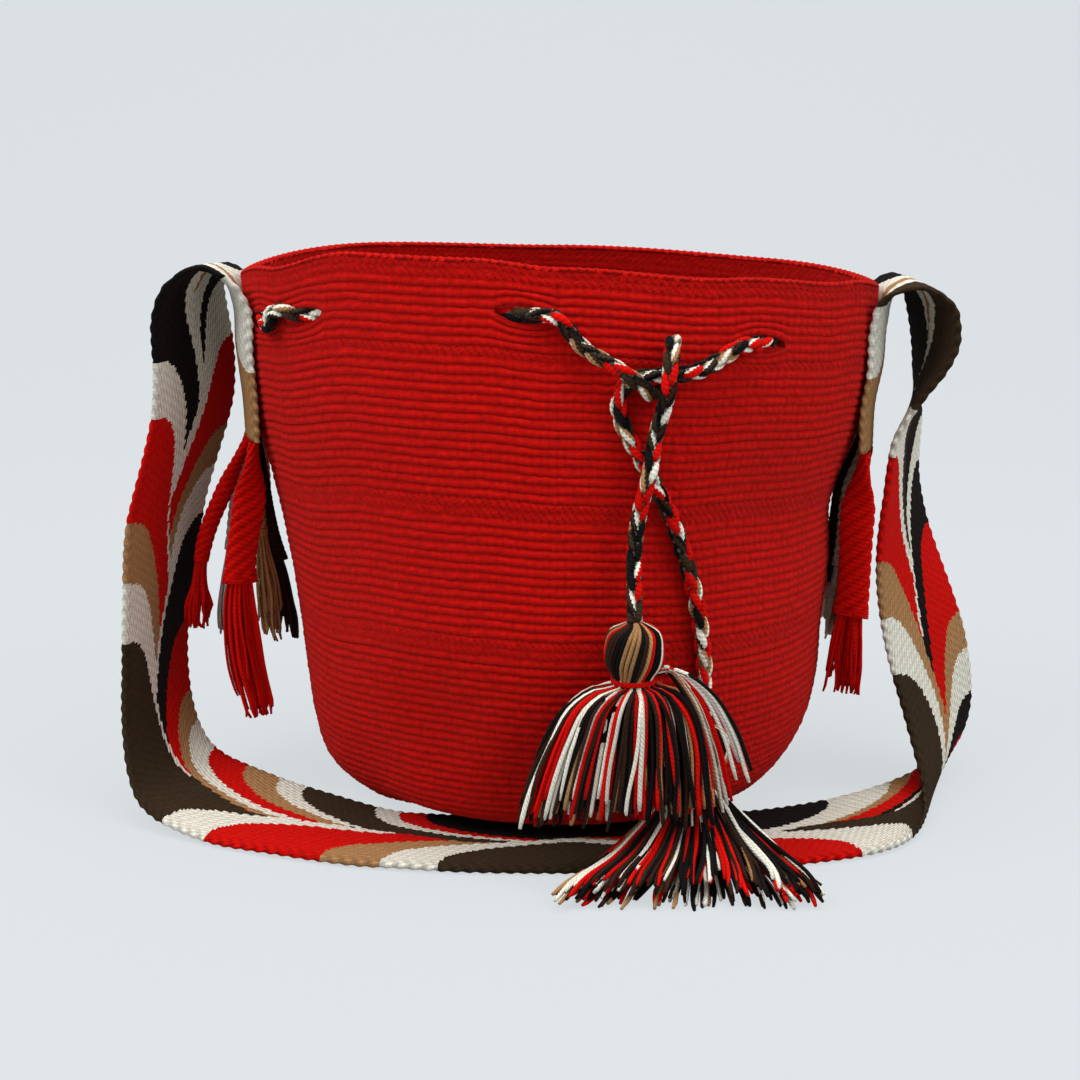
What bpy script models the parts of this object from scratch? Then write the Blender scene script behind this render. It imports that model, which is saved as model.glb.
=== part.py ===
"""A crocheted bucket bag with a woven shoulder strap and a braided drawstring, standing on its base.

Metres, +Z up. The origin is the middle of the base on the floor, and the front looks towards -Y.
"""

import bisect
import math

import bmesh
import bpy
from mathutils import Vector

# Gap that neighbouring pieces keep
CLEARANCE = 0.0003

# Crocheted body: one row of stitches is one ridge around the wall
AROUND = 28
ROW_PITCH = 0.0043
ROW_GROOVE = 0.0009
WALL_THICKNESS = 0.004
RIM_ROUNDING = 0.0015
INNER_WALL_LEVELS = 12
BASE_RINGS = 3
BASE_HALF_WIDTH = 0.070
BASE_HALF_DEPTH = 0.052
# height, then the half sizes of the outer face to the left, the right, the front and the back
WALL_STATIONS = (
    (0.0000, 0.092, 0.090, 0.088, 0.090),
    (0.0080, 0.113, 0.110, 0.107, 0.110),
    (0.0200, 0.126, 0.122, 0.116, 0.119),
    (0.0410, 0.132, 0.133, 0.124, 0.126),
    (0.0640, 0.135, 0.138, 0.129, 0.130),
    (0.0980, 0.1385, 0.140, 0.131, 0.131),
    (0.1310, 0.143, 0.143, 0.128, 0.129),
    (0.1630, 0.149, 0.143, 0.124, 0.126),
    (0.2060, 0.159, 0.157, 0.119, 0.120),
    (0.2450, 0.1635, 0.1640, 0.112, 0.112),
    (0.2810, 0.1650, 0.1650, 0.105, 0.105),
)
# degrees around from +X towards the back, and the rim's height there
RIM_STATIONS = (
    (0, 0.268),
    (45, 0.2710),
    (90, 0.2745),
    (135, 0.2790),
    (180, 0.2745),
    (207, 0.2825),
    (232, 0.2945),
    (255, 0.2940),
    (270, 0.2900),
    (300, 0.2830),
    (330, 0.2760),
)
# Half width of the bag where the hollows' reach around it is measured
HOLLOW_HALF_WIDTH = 0.1385
# degrees around, height, reach and depth of each soft hollow in the wall
HOLLOWS = (
    (243, 0.060, 0.030, 0.0035),
    (222, 0.030, 0.028, 0.0030),
    (262, 0.035, 0.022, 0.0022),
    (313, 0.165, 0.038, 0.0030),
)

# The front of the foot is lifted by the strap that lies under it
FOOT_LIFT_START = 0.052
FOOT_LIFT_RUN = 0.012
FOOT_LIFT_FADE = 0.016

# Drawstring slits, by their distance along the wall from its middle at the front
SLIT_LENGTH = 0.030
SLIT_HEIGHT = 0.0095
SLIT_CORNER = 0.0035
SLIT_LEVEL = 0.255
# distance along the wall to the right, and height
SLITS = {
    "front_left": (-0.018, 0.268),
    "front_right": (0.1005, 0.2515),
    "right_rear": (0.252, 0.2440),
    "rear_right": (0.345, 0.2460),
    "rear_left": (0.443, 0.2530),
    "left_rear": (0.541, 0.2560),
    "left_front": (-0.1705, 0.2565),
    "front_far_left": (-0.1380, 0.2620),
}

# Drawstring
CORD_RADIUS = 0.00325
CORD_REST = 0.0006
CORD_INNER_REST = 0.0020
CORD_POINT_SPACING = 0.0180
CORD_BEVEL_STEPS = 2

# Strap
STRAP_WIDTH = 0.071
STRAP_THICKNESS = 0.0042
STRAP_SECTION_FACES = 5
# The rounded edge's run in from the side, as a share of the thickness
STRAP_EDGE_SHARE = 0.35
STRAP_STATION_SPACING = 0.0150
STRAP_LEG_Y = -0.004
STRAP_SEWN_GAP = 0.0009
# The strap's flames of colour: how many rounds of the yarns there are, and the share of one that a point takes
FLAME_ROUNDS = 8
FLAME_POINT = 0.37

# Turns in radians and shares are made this much smaller while a smooth curve is laid through them,
# so that the places alone set its speed
TURN_SCALE = 10
SHARE_SCALE = 50

# Fringe tails: the yarns of the strap run on past its two ends
TAIL_SIDES = 6
TAIL_POINT_SPACING = 0.012

# Tassels
TASSEL_RIBS = 14
TASSEL_HEAD_RADIUS = 0.0138
TASSEL_NECK_RADIUS = 0.0098
TASSEL_RIB_DEPTH = 0.0012
TIE_RADIUS = 0.0016
TIE_STEPS_AROUND = 16
TIE_STEPS_ACROSS = 6
# Each section of a tassel: the steps from the top of its head to the right, back and up, the half
# sizes across and through it, how far its ribs stand out, and its turn forward in radians
UPPER_TASSEL = (
    (0, 0, 0, 0.45 * TASSEL_HEAD_RADIUS, 0.45 * TASSEL_HEAD_RADIUS, 0.3 * TASSEL_RIB_DEPTH, 0),
    (0, 0, -0.003, 0.85 * TASSEL_HEAD_RADIUS, 0.82 * TASSEL_HEAD_RADIUS, TASSEL_RIB_DEPTH, 0),
    (0, 0, -0.010, TASSEL_HEAD_RADIUS, 0.95 * TASSEL_HEAD_RADIUS, TASSEL_RIB_DEPTH, 0),
    (0, 0, -0.018, 0.98 * TASSEL_HEAD_RADIUS, 0.92 * TASSEL_HEAD_RADIUS, TASSEL_RIB_DEPTH, 0),
    (0, 0, -0.0245, TASSEL_NECK_RADIUS, TASSEL_NECK_RADIUS, 0.5 * TASSEL_RIB_DEPTH, 0),
    (0, 0, -0.0285, TASSEL_NECK_RADIUS, TASSEL_NECK_RADIUS, 0.5 * TASSEL_RIB_DEPTH, 0),
    (0, -0.001, -0.034, 0.019, 0.0130, TASSEL_RIB_DEPTH, 0.10),
    (0, -0.005, -0.048, 0.031, 0.0150, 1.6 * TASSEL_RIB_DEPTH, 0.25),
    (-0.001, -0.011, -0.066, 0.042, 0.0125, 2.2 * TASSEL_RIB_DEPTH, 0.30),
    (-0.003, -0.016, -0.083, 0.050, 0.0100, 2.8 * TASSEL_RIB_DEPTH, 0.25),
    (-0.003, -0.018, -0.090, 0.049, 0.0080, 3.0 * TASSEL_RIB_DEPTH, 0.15),
)
LOWER_TASSEL = (
    (0, 0, 0, 0.45 * TASSEL_HEAD_RADIUS, 0.45 * TASSEL_HEAD_RADIUS, 0.3 * TASSEL_RIB_DEPTH, 0),
    (-0.0005, 0, -0.003, 0.85 * TASSEL_HEAD_RADIUS, 0.80 * TASSEL_HEAD_RADIUS, TASSEL_RIB_DEPTH, 0),
    (-0.0018, 0, -0.010, TASSEL_HEAD_RADIUS, 0.88 * TASSEL_HEAD_RADIUS, TASSEL_RIB_DEPTH, 0.10),
    (-0.0032, -0.001, -0.018, 0.98 * TASSEL_HEAD_RADIUS, 0.88 * TASSEL_HEAD_RADIUS, TASSEL_RIB_DEPTH, 0.35),
    (-0.0045, -0.005, -0.0255, TASSEL_NECK_RADIUS, TASSEL_NECK_RADIUS, 0.5 * TASSEL_RIB_DEPTH, 0.70),
    (-0.0050, -0.008, -0.0290, TASSEL_NECK_RADIUS, TASSEL_NECK_RADIUS, 0.5 * TASSEL_RIB_DEPTH, 0.80),
    (-0.0052, -0.0135, -0.0350, 0.0180, 0.0105, TASSEL_RIB_DEPTH, 0.90),
    (-0.0055, -0.0240, -0.0450, 0.0320, 0.0095, 1.6 * TASSEL_RIB_DEPTH, 0.95),
    (-0.0058, -0.0360, -0.0540, 0.0460, 0.0080, 2.2 * TASSEL_RIB_DEPTH, 1.10),
    (-0.0078, -0.0500, -0.0600, 0.0600, 0.0068, 2.8 * TASSEL_RIB_DEPTH, 1.30),
    (-0.0088, -0.0580, -0.0622, 0.0635, 0.0058, 3.0 * TASSEL_RIB_DEPTH, 1.40),
)
# Each tie: the steps right, back and up from the top of the head, and its turn forward in radians
UPPER_TIE = (0.0, 0.0, -0.0265, 0.0)
LOWER_TIE = (-0.0047, -0.0065, -0.0272, 0.75)

# Yarn colours as they are seen, 0 to 255, with their roughness
RED = ("red_yarn", 200, 12, 18, 0.85)
CREAM = ("cream_yarn", 215, 213, 198, 0.85)
TAN = ("tan_yarn", 165, 125, 85, 0.85)
BROWN = ("brown_yarn", 50, 40, 30, 0.85)
MIXED = ("mixed_yarn", 110, 60, 50, 0.85)


def clear_scene():
    """Removes whatever the scene holds."""
    for thing in list(bpy.data.objects):
        bpy.data.objects.remove(thing)


def new_collection(name):
    """A collection in the scene, emptied if it was there."""
    group = bpy.data.collections.get(name) or bpy.data.collections.new(name)
    if name not in bpy.context.scene.collection.children:
        bpy.context.scene.collection.children.link(group)
    return group


def as_light(value):
    """A display value of 0 to 255 as linear light."""
    share = value / 255
    return share / 12.92 if share <= 0.04045 else ((share + 0.055) / 1.055) ** 2.4


def yarn(finish):
    """The matte yarn material of a finish."""
    name, red, green, blue, roughness = finish
    found = bpy.data.materials.get(name)
    if found:
        return found
    made = bpy.data.materials.new(name)
    made.use_nodes = True
    shader = made.node_tree.nodes["Principled BSDF"]
    shader.inputs["Base Color"].default_value = (as_light(red), as_light(green), as_light(blue), 1)
    shader.inputs["Roughness"].default_value = roughness
    shader.inputs["Metallic"].default_value = 0
    made.diffuse_color = (as_light(red), as_light(green), as_light(blue), 1)
    return made


def smooth_through(points, spacing):
    """Points about a spacing apart on a smooth curve through the given points, of any dimension."""
    places = [tuple(float(value) for value in point) for point in points]
    reach = [0.0]
    for before, after in zip(places, places[1:]):
        reach.append(reach[-1] + max(math.dist(before, after), 1e-9))
    slopes = []
    for index, place in enumerate(places):
        first = max(index - 1, 0)
        last = min(index + 1, len(places) - 1)
        if first == index or last == index:
            run = reach[last] - reach[first]
            slopes.append([(b - a) / run for a, b in zip(places[first], places[last])])
            continue
        run_in = reach[index] - reach[first]
        run_out = reach[last] - reach[index]
        slopes.append(
            [
                ((c - b) / run_out * run_in + (b - a) / run_in * run_out) / (run_in + run_out)
                for a, b, c in zip(places[first], place, places[last])
            ]
        )
    made = [places[0]]
    for index in range(len(places) - 1):
        run = reach[index + 1] - reach[index]
        steps = max(1, round(run / spacing))
        for step in range(1, steps + 1):
            t = step / steps
            weights = (
                2 * t**3 - 3 * t**2 + 1,
                (t**3 - 2 * t**2 + t) * run,
                3 * t**2 - 2 * t**3,
                (t**3 - t**2) * run,
            )
            parts = zip(places[index], slopes[index], places[index + 1], slopes[index + 1])
            made.append(tuple(sum(w * value for w, value in zip(weights, four)) for four in parts))
    return made


def eased(share):
    """A share from 0 to 1 that starts and ends gently."""
    share = min(max(share, 0.0), 1.0)
    return share * share * (3 - 2 * share)


PROFILE = smooth_through(WALL_STATIONS, ROW_PITCH / 4)
PROFILE_REACH = [0.0]
for lower, upper in zip(PROFILE, PROFILE[1:]):
    rise = upper[0] - lower[0]
    spread = (sum(upper[1:]) - sum(lower[1:])) / 4
    PROFILE_REACH.append(PROFILE_REACH[-1] + math.hypot(rise, spread))
RIM_LEVEL = WALL_STATIONS[-1][0]


def between(keys, rows, key):
    """The row at a key, worked out between its neighbours."""
    index = min(max(bisect.bisect_right(keys, key), 1), len(keys) - 1)
    share = (key - keys[index - 1]) / (keys[index] - keys[index - 1])
    return [a + (b - a) * share for a, b in zip(rows[index - 1], rows[index])]


PROFILE_HEIGHTS = [row[0] for row in PROFILE]


def rim_height(angle):
    """Height of the rim at an angle around the bag."""
    degrees = math.degrees(angle) % 360
    stations = RIM_STATIONS + ((RIM_STATIONS[0][0] + 360, RIM_STATIONS[0][1]),)
    for (start, low), (end, high) in zip(stations, stations[1:]):
        if start <= degrees <= end:
            return low + (high - low) * eased((degrees - start) / (end - start))
    return stations[0][1]


def hollow_at(angle, height):
    """How far the soft hollows pull the wall in."""
    total = 0.0
    for degrees, level, reach, depth in HOLLOWS:
        turn = (math.degrees(angle) - degrees + 180) % 360 - 180
        along = math.radians(turn) * HOLLOW_HALF_WIDTH
        total += depth * math.exp(-(along**2 + (height - level) ** 2) / reach**2)
    return total


def foot_lift(y, height):
    """How far the strap under the front of the foot raises it."""
    room = STRAP_THICKNESS + 3 * CLEARANCE
    ahead = eased((-y - FOOT_LIFT_START) / FOOT_LIFT_RUN)
    return room * ahead * eased(1 - height / FOOT_LIFT_FADE)


def wall_place(angle, sizes):
    """The point of the wall at an angle, for a height and four half sizes."""
    height, left, right, front, back = sizes
    pull = hollow_at(angle, height)
    half_x = (right if math.cos(angle) > 0 else left) - pull
    half_y = (back if math.sin(angle) > 0 else front) - pull
    x = half_x * math.cos(angle)
    y = half_y * math.sin(angle)
    return Vector((x, y, height * rim_height(angle) / RIM_LEVEL + foot_lift(y, height)))


def profile_level(distance, depth):
    """The wall's height and half sizes at a distance up its profile, a depth under the outer face."""
    row = between(PROFILE_REACH, PROFILE, distance)
    near = between(PROFILE_REACH, PROFILE, max(distance - ROW_PITCH, 0))
    far = between(PROFILE_REACH, PROFILE, min(distance + ROW_PITCH, PROFILE_REACH[-1]))
    rise = far[0] - near[0]
    spread = (sum(far[1:]) - sum(near[1:])) / 4
    length = math.hypot(rise, spread)
    return [row[0] + depth * spread / length] + [half - depth * rise / length for half in row[1:]]


def wall_ring(sizes):
    """The ring of wall points for a height and four half sizes."""
    return [wall_place(2 * math.pi * step / AROUND, sizes) for step in range(AROUND)]


def arc_table():
    """Angles around the bag and how far along the wall they lie from the front's middle."""
    sizes = between(PROFILE_HEIGHTS, PROFILE, SLIT_LEVEL)
    angles = [math.radians(-90 + step) for step in range(361)]
    places = [wall_place(angle, sizes).xy for angle in angles]
    reach = [0.0]
    for before, after in zip(places, places[1:]):
        reach.append(reach[-1] + (after - before).length)
    return angles, reach


ARC_ANGLES, ARC_REACH = arc_table()


def along_wall(distance, height, offset):
    """The point a distance along the wall from the front's middle, an offset outside its face."""
    distance %= ARC_REACH[-1]
    angle = between(ARC_REACH, [[a] for a in ARC_ANGLES], distance)[0]
    level = min(height * RIM_LEVEL / rim_height(angle), RIM_LEVEL)
    sizes = between(PROFILE_HEIGHTS, PROFILE, level)
    place = wall_place(angle, sizes)
    step = 0.01
    run = wall_place(angle + step, sizes) - wall_place(angle - step, sizes)
    outward = Vector((run.y, -run.x, 0)).normalized()
    return Vector((place.x, place.y, height)) + outward * offset


def outward_at(distance, height):
    """The level direction that points out of the wall at a distance along it."""
    return (along_wall(distance, height, 0.01) - along_wall(distance, height, 0)).normalized()


def finish_mesh(name, shape, finishes, group, sharp=40):
    """Makes an object of a bmesh, with its faces out, its materials and smooth shading."""
    bmesh.ops.recalc_face_normals(shape, faces=shape.faces)
    mesh = bpy.data.meshes.new(name)
    shape.to_mesh(mesh)
    shape.free()
    mesh.shade_smooth()
    mesh.set_sharp_from_angle(angle=math.radians(sharp))
    for finish in finishes:
        mesh.materials.append(yarn(finish))
    made = bpy.data.objects.new(name, mesh)
    group.objects.link(made)
    return made


def loft(rings, colour_of=None):
    """A closed bmesh through rings of equally many points, with a flat face on each end."""
    shape = bmesh.new()
    rows = [[shape.verts.new(place) for place in ring] for ring in rings]
    count = len(rings[0])
    for level, (lower, upper) in enumerate(zip(rows, rows[1:])):
        for step in range(count):
            after = (step + 1) % count
            face = shape.faces.new((lower[step], lower[after], upper[after], upper[step]))
            if colour_of:
                face.material_index = colour_of(level, step)
    shape.faces.new(rows[0][::-1])
    shape.faces.new(rows[-1])
    return shape


def slit_cutter(name, distance, height, group):
    """A rounded block that cuts one slit through the wall."""
    shape = bmesh.new()
    bmesh.ops.create_cube(shape, size=1)
    depth = 6 * WALL_THICKNESS
    bmesh.ops.scale(shape, vec=(SLIT_LENGTH, depth, SLIT_HEIGHT), verts=shape.verts)
    through = [
        edge
        for edge in shape.edges
        if abs(edge.verts[0].co.y - edge.verts[1].co.y) > depth / 2
    ]
    bmesh.ops.bevel(shape, geom=through, offset=SLIT_CORNER, segments=2, affect="EDGES", profile=0.5)
    cutter = finish_mesh(name, shape, (), group)
    outward = outward_at(distance, height)
    cutter.location = along_wall(distance, height, -WALL_THICKNESS / 2)
    cutter.rotation_euler = (0, 0, math.atan2(outward.x, -outward.y))
    cutter.hide_render = True
    cutter.display_type = "WIRE"
    return cutter


def build_bag_body(group, cutters):
    """Base, wall and rim, crocheted in one piece, with a ridge for each row and the slits cut through."""
    length = PROFILE_REACH[-1]
    rows = round(length / ROW_PITCH)
    flat = [0.0, BASE_HALF_WIDTH, BASE_HALF_WIDTH, BASE_HALF_DEPTH, BASE_HALF_DEPTH]
    base = [
        [a + (b - a) * step / BASE_RINGS for a, b in zip(flat, WALL_STATIONS[0])]
        for step in range(BASE_RINGS)
    ]
    rings = [wall_ring(sizes) for sizes in base]
    for half_row in range(2 * rows - 1):
        depth = ROW_GROOVE if half_row % 2 == 0 and half_row > 0 else 0.0
        rings.append(wall_ring(profile_level(length * half_row / (2 * rows), depth)))
    crown = profile_level(length, 0)
    for inset, drop in ((0, RIM_ROUNDING), (RIM_ROUNDING, 0), (WALL_THICKNESS - RIM_ROUNDING, 0)):
        rings.append(wall_ring([crown[0] - drop] + [half - inset for half in crown[1:]]))
    inner_top = length - RIM_ROUNDING
    for step in range(INNER_WALL_LEVELS + 1):
        distance = inner_top * (1 - step / INNER_WALL_LEVELS)
        rings.append(wall_ring(profile_level(distance, WALL_THICKNESS)))
    rings += [wall_ring([WALL_THICKNESS] + sizes[1:]) for sizes in reversed(base)]
    body = finish_mesh("bag_body", loft(rings), (RED,), group, sharp=60)
    for name, (distance, height) in SLITS.items():
        cut = body.modifiers.new("slit_" + name, "BOOLEAN")
        cut.operation = "DIFFERENCE"
        cut.object = slit_cutter("cutter_" + name, distance, height, cutters)
    return body


def sewn_x(side, y, height):
    """Where the middle of the strap's thickness lies against the bag's side."""
    level = min(height * RIM_LEVEL / rim_height(0 if side > 0 else math.pi), RIM_LEVEL)
    sizes = between(PROFILE_HEIGHTS, PROFILE, level)
    half_x = sizes[2] if side > 0 else sizes[1]
    half_y = sizes[3] if y < 0 else sizes[4]
    return side * (half_x * math.sqrt(1 - (y / half_y) ** 2) + STRAP_SEWN_GAP + STRAP_THICKNESS / 2)


def leg_place(side, height):
    """The middle of the strap where it is sewn flat on the bag's side."""
    return sewn_x(side, STRAP_LEG_Y, height), STRAP_LEG_Y, height


def strap_stations():
    """Middle, turn and tilt in degrees, and share of the bag's roundness, from the left end to the right."""
    on_floor = STRAP_THICKNESS / 2 + CLEARANCE
    straight = leg_place(-1, 0.205)[0]
    right_straight = leg_place(1, 0.205)[0]
    top_left = leg_place(-1, 0.262)[0]
    top_right = leg_place(1, 0.256)[0]
    return (
        (straight, STRAP_LEG_Y, 0.192, -4, 0, 1.0),
        (*leg_place(-1, 0.212), -4, 0, 1.0),
        (*leg_place(-1, 0.238), -4, 0, 1.0),
        (*leg_place(-1, 0.260), -4, 0, 1.0),
        (top_left - 0.0040, STRAP_LEG_Y, 0.2715, -2, -5, 0.6),
        (top_left - 0.0130, -0.005, 0.2775, 6, -8, 0.2),
        (-0.1880, -0.006, 0.2690, 16, -6, 0.0),
        (-0.1910, -0.007, 0.2540, 24, -2, 0.0),
        (-0.1895, -0.008, 0.2320, 27, 0, 0.0),
        (-0.1910, -0.008, 0.2050, 28, 0, 0.0),
        (-0.1975, -0.010, 0.1800, 27, 0, 0.0),
        (-0.2060, -0.014, 0.1500, 26, 0, 0.0),
        (-0.2108, -0.016, 0.1100, 23, 0, 0.0),
        (-0.2140, -0.020, 0.0750, 19, 0, 0.0),
        (-0.2122, -0.031, 0.0420, 21, 0, 0.0),
        (-0.2010, -0.050, 0.0180, 25, 7, 0.0),
        (-0.1700, -0.073, 0.0092, 25, 9, 0.0),
        (-0.1300, -0.0915, 0.0056, 21, 4, 0.0),
        (-0.0900, -0.1035, on_floor, 14, 0, 0.0),
        (-0.0450, -0.1100, on_floor, 6, 0, 0.0),
        (0.0000, -0.1115, on_floor, 0, 0, 0.0),
        (0.0600, -0.1085, on_floor, -6, 0, 0.0),
        (0.1100, -0.1010, on_floor, -10, 0, 0.0),
        (0.1500, -0.0880, 0.0036, -10, 1, 0.0),
        (0.1860, -0.0600, 0.0070, 6, 3, 0.0),
        (0.2030, -0.0300, 0.0170, 24, 3, 0.0),
        (0.2040, -0.0150, 0.0400, 37, 0, 0.0),
        (0.1955, -0.0095, 0.0790, 43, 0, 0.0),
        (0.1872, -0.0040, 0.1110, 37, 0, 0.0),
        (0.1824, -0.0010, 0.1360, 29, 0, 0.0),
        (0.1810, 0.0000, 0.1620, 22, 0, 0.0),
        (0.1830, -0.0010, 0.1920, 19, 0, 0.0),
        (0.1885, -0.0030, 0.2170, 12, 0, 0.0),
        (0.1940, -0.0050, 0.2400, 6, 0, 0.0),
        (top_right + 0.0235, -0.005, 0.2610, 4, -2, 0.1),
        (top_right + 0.0130, -0.005, 0.2700, 4, -3, 0.3),
        (top_right + 0.0040, STRAP_LEG_Y, 0.2655, 4, -2, 0.7),
        (*leg_place(1, 0.250), 4, 0, 1.0),
        (*leg_place(1, 0.228), 4, 0, 1.0),
        (*leg_place(1, 0.208), 4, 0, 1.0),
        (right_straight, STRAP_LEG_Y, 0.186, 4, 0, 1.0),
    )


def strap_frames():
    """The strap's middle, width and face directions and roundness along its whole length."""
    rows = smooth_through(
        [
            (x, y, z, math.radians(turn) / TURN_SCALE, math.radians(tilt) / TURN_SCALE, share / SHARE_SCALE)
            for x, y, z, turn, tilt, share in strap_stations()
        ],
        STRAP_STATION_SPACING,
    )
    frames = []
    for index, row in enumerate(rows):
        before = Vector(rows[max(index - 1, 0)][:3])
        after = Vector(rows[min(index + 1, len(rows) - 1)][:3])
        ahead = (after - before).normalized()
        turn, tilt, share = row[3] * TURN_SCALE, row[4] * TURN_SCALE, row[5] * SHARE_SCALE
        width = Vector(
            (math.sin(turn) * math.cos(tilt), math.cos(turn) * math.cos(tilt), math.sin(tilt))
        )
        face = ahead.cross(width).normalized()
        lowest = CLEARANCE + STRAP_THICKNESS / 2 + STRAP_WIDTH / 2 * abs(math.sin(tilt))
        middle = Vector((row[0], row[1], max(row[2], lowest * min(1, abs(face.z) * 2))))
        frames.append((middle, width, face, min(max(share, 0.0), 1.0)))
    return frames


def strap_section(middle, width, face, share):
    """One closed section of the band, rounded at its edges, laid on the bag's side where it is sewn."""
    half_width = STRAP_WIDTH / 2
    half_thick = STRAP_THICKNESS / 2
    shoulder = half_width - STRAP_EDGE_SHARE * STRAP_THICKNESS
    stops = [shoulder * (2 * step / STRAP_SECTION_FACES - 1) for step in range(STRAP_SECTION_FACES + 1)]
    outline = [(stop, half_thick) for stop in stops] + [(half_width, 0.0)]
    outline += [(stop, -half_thick) for stop in reversed(stops)] + [(-half_width, 0.0)]
    return [strap_place(middle, width, face, share, s, d) for s, d in outline]


def strap_place(middle, width, face, share, across, out):
    """The point of the band a distance across it and out from its middle."""
    flat = middle + width * across + face * out
    if share <= 0:
        return flat
    side = math.copysign(1, middle.x)
    shift = sewn_x(side, middle.y + across, middle.z) - sewn_x(side, middle.y, middle.z)
    sewn = middle + Vector((shift + side * out, across, 0))
    return flat.lerp(sewn, share)


def flame_colour(share_along, across):
    """Which of the four yarns shows at a share of the strap's length and of its width."""
    shift = FLAME_POINT * abs(across - 0.5) * 2
    share = (share_along * FLAME_ROUNDS + shift) % 1
    return min(int(share * 4), 3)


def build_shoulder_strap(group):
    """The band, woven in flames of four yarns, with both ends sewn on the bag's sides."""
    frames = strap_frames()
    rings = [strap_section(*frame) for frame in frames]
    reach = [0.0]
    for before, after in zip(frames, frames[1:]):
        reach.append(reach[-1] + (after[0] - before[0]).length)
    edge = STRAP_SECTION_FACES + 1

    def colour_of(level, step):
        across = step % edge / STRAP_SECTION_FACES
        if step >= edge:
            across = 1 - across
        return flame_colour(reach[level] / reach[-1], across)

    shape = loft(rings, colour_of)
    return finish_mesh("shoulder_strap", shape, (CREAM, RED, BROWN, TAN), group, sharp=60)


# name, share across the strap's end, width, thickness, then steps (out, back, down) and sizes
LEFT_TAILS = (
    (
        "left_tail_wide_red",
        RED,
        -0.385,
        0.0150,
        0.0060,
        ((0, 0, 0, 1.0), (0.004, 0, -0.030, 1.0), (0.015, -0.002, -0.065, 0.95),
         (0.0165, -0.003, -0.085, 1.25), (0.013, -0.003, -0.118, 1.15), (0.006, -0.003, -0.148, 0.8)),
    ),
    (
        "left_tail_thin_red",
        RED,
        -0.190,
        0.0085,
        0.0052,
        ((0, 0, 0, 1.0), (0.010, 0, -0.025, 1.0), (0.0215, 0, -0.058, 0.9),
         (0.0245, 0, -0.080, 0.8), (0.0250, 0, -0.090, 1.3), (0.0250, 0, -0.104, 1.2)),
    ),
    (
        "left_tail_cream",
        CREAM,
        -0.045,
        0.0085,
        0.0050,
        ((0, 0, 0, 1.0), (0.006, 0, -0.030, 1.0), (0.012, 0, -0.070, 0.9),
         (0.014, 0, -0.090, 1.3), (0.014, 0, -0.116, 1.2)),
    ),
    (
        "left_tail_tan",
        TAN,
        0.100,
        0.0085,
        0.0050,
        ((0, 0, 0, 1.0), (-0.001, 0, -0.030, 1.0), (-0.004, -0.001, -0.065, 0.9),
         (-0.006, -0.001, -0.085, 1.3), (-0.008, -0.001, -0.118, 1.1)),
    ),
    (
        "left_tail_dark",
        BROWN,
        0.245,
        0.0085,
        0.0055,
        ((0, 0, 0, 1.0), (-0.002, 0, -0.030, 1.0), (-0.007, 0, -0.060, 0.9),
         (-0.011, 0, -0.084, 1.4), (-0.016, 0, -0.120, 1.2)),
    ),
    (
        "left_tail_rear_cream",
        CREAM,
        0.400,
        0.0090,
        0.0050,
        ((0, 0, 0, 1.0), (0.001, 0, -0.030, 1.0), (-0.001, 0, -0.065, 0.9),
         (-0.004, 0, -0.085, 1.3), (-0.006, 0, -0.110, 1.1)),
    ),
)
RIGHT_TAILS = (
    (
        "right_tail_wide_red",
        RED,
        -0.385,
        0.0150,
        0.0060,
        ((0, 0, 0, 1.0), (-0.003, 0, -0.035, 1.0), (-0.004, -0.001, -0.075, 0.95),
         (-0.006, -0.002, -0.095, 1.1), (-0.008, -0.002, -0.130, 1.0)),
    ),
    (
        "right_tail_thin_red",
        RED,
        -0.190,
        0.0085,
        0.0052,
        ((0, 0, 0, 1.0), (-0.005, 0, -0.030, 1.0), (-0.006, 0, -0.065, 0.9),
         (-0.007, 0, -0.085, 1.12), (-0.008, 0, -0.118, 1.0)),
    ),
    (
        "right_tail_tan",
        TAN,
        -0.045,
        0.0085,
        0.0050,
        ((0, 0, 0, 1.0), (-0.006, 0, -0.030, 1.0), (-0.009, 0, -0.062, 0.9),
         (-0.010, 0, -0.082, 1.12), (-0.012, 0, -0.108, 1.0)),
    ),
    (
        "right_tail_cream",
        CREAM,
        0.100,
        0.0085,
        0.0050,
        ((0, 0, 0, 1.0), (-0.008, 0, -0.030, 1.0), (-0.011, 0, -0.062, 0.9),
         (-0.013, 0, -0.082, 1.12), (-0.016, 0, -0.112, 1.0)),
    ),
    (
        "right_tail_dark",
        BROWN,
        0.245,
        0.0085,
        0.0055,
        ((0, 0, 0, 1.0), (-0.009, 0, -0.028, 1.0), (-0.013, 0, -0.052, 0.9),
         (-0.014, 0, -0.066, 1.3), (-0.015, 0, -0.082, 1.2)),
    ),
    (
        "right_tail_rear_cream",
        CREAM,
        0.400,
        0.0090,
        0.0050,
        ((0, 0, 0, 1.0), (-0.006, 0, -0.030, 1.0), (-0.009, 0, -0.062, 0.9),
         (-0.010, 0, -0.082, 1.3), (-0.012, 0, -0.105, 1.1)),
    ),
)


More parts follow.
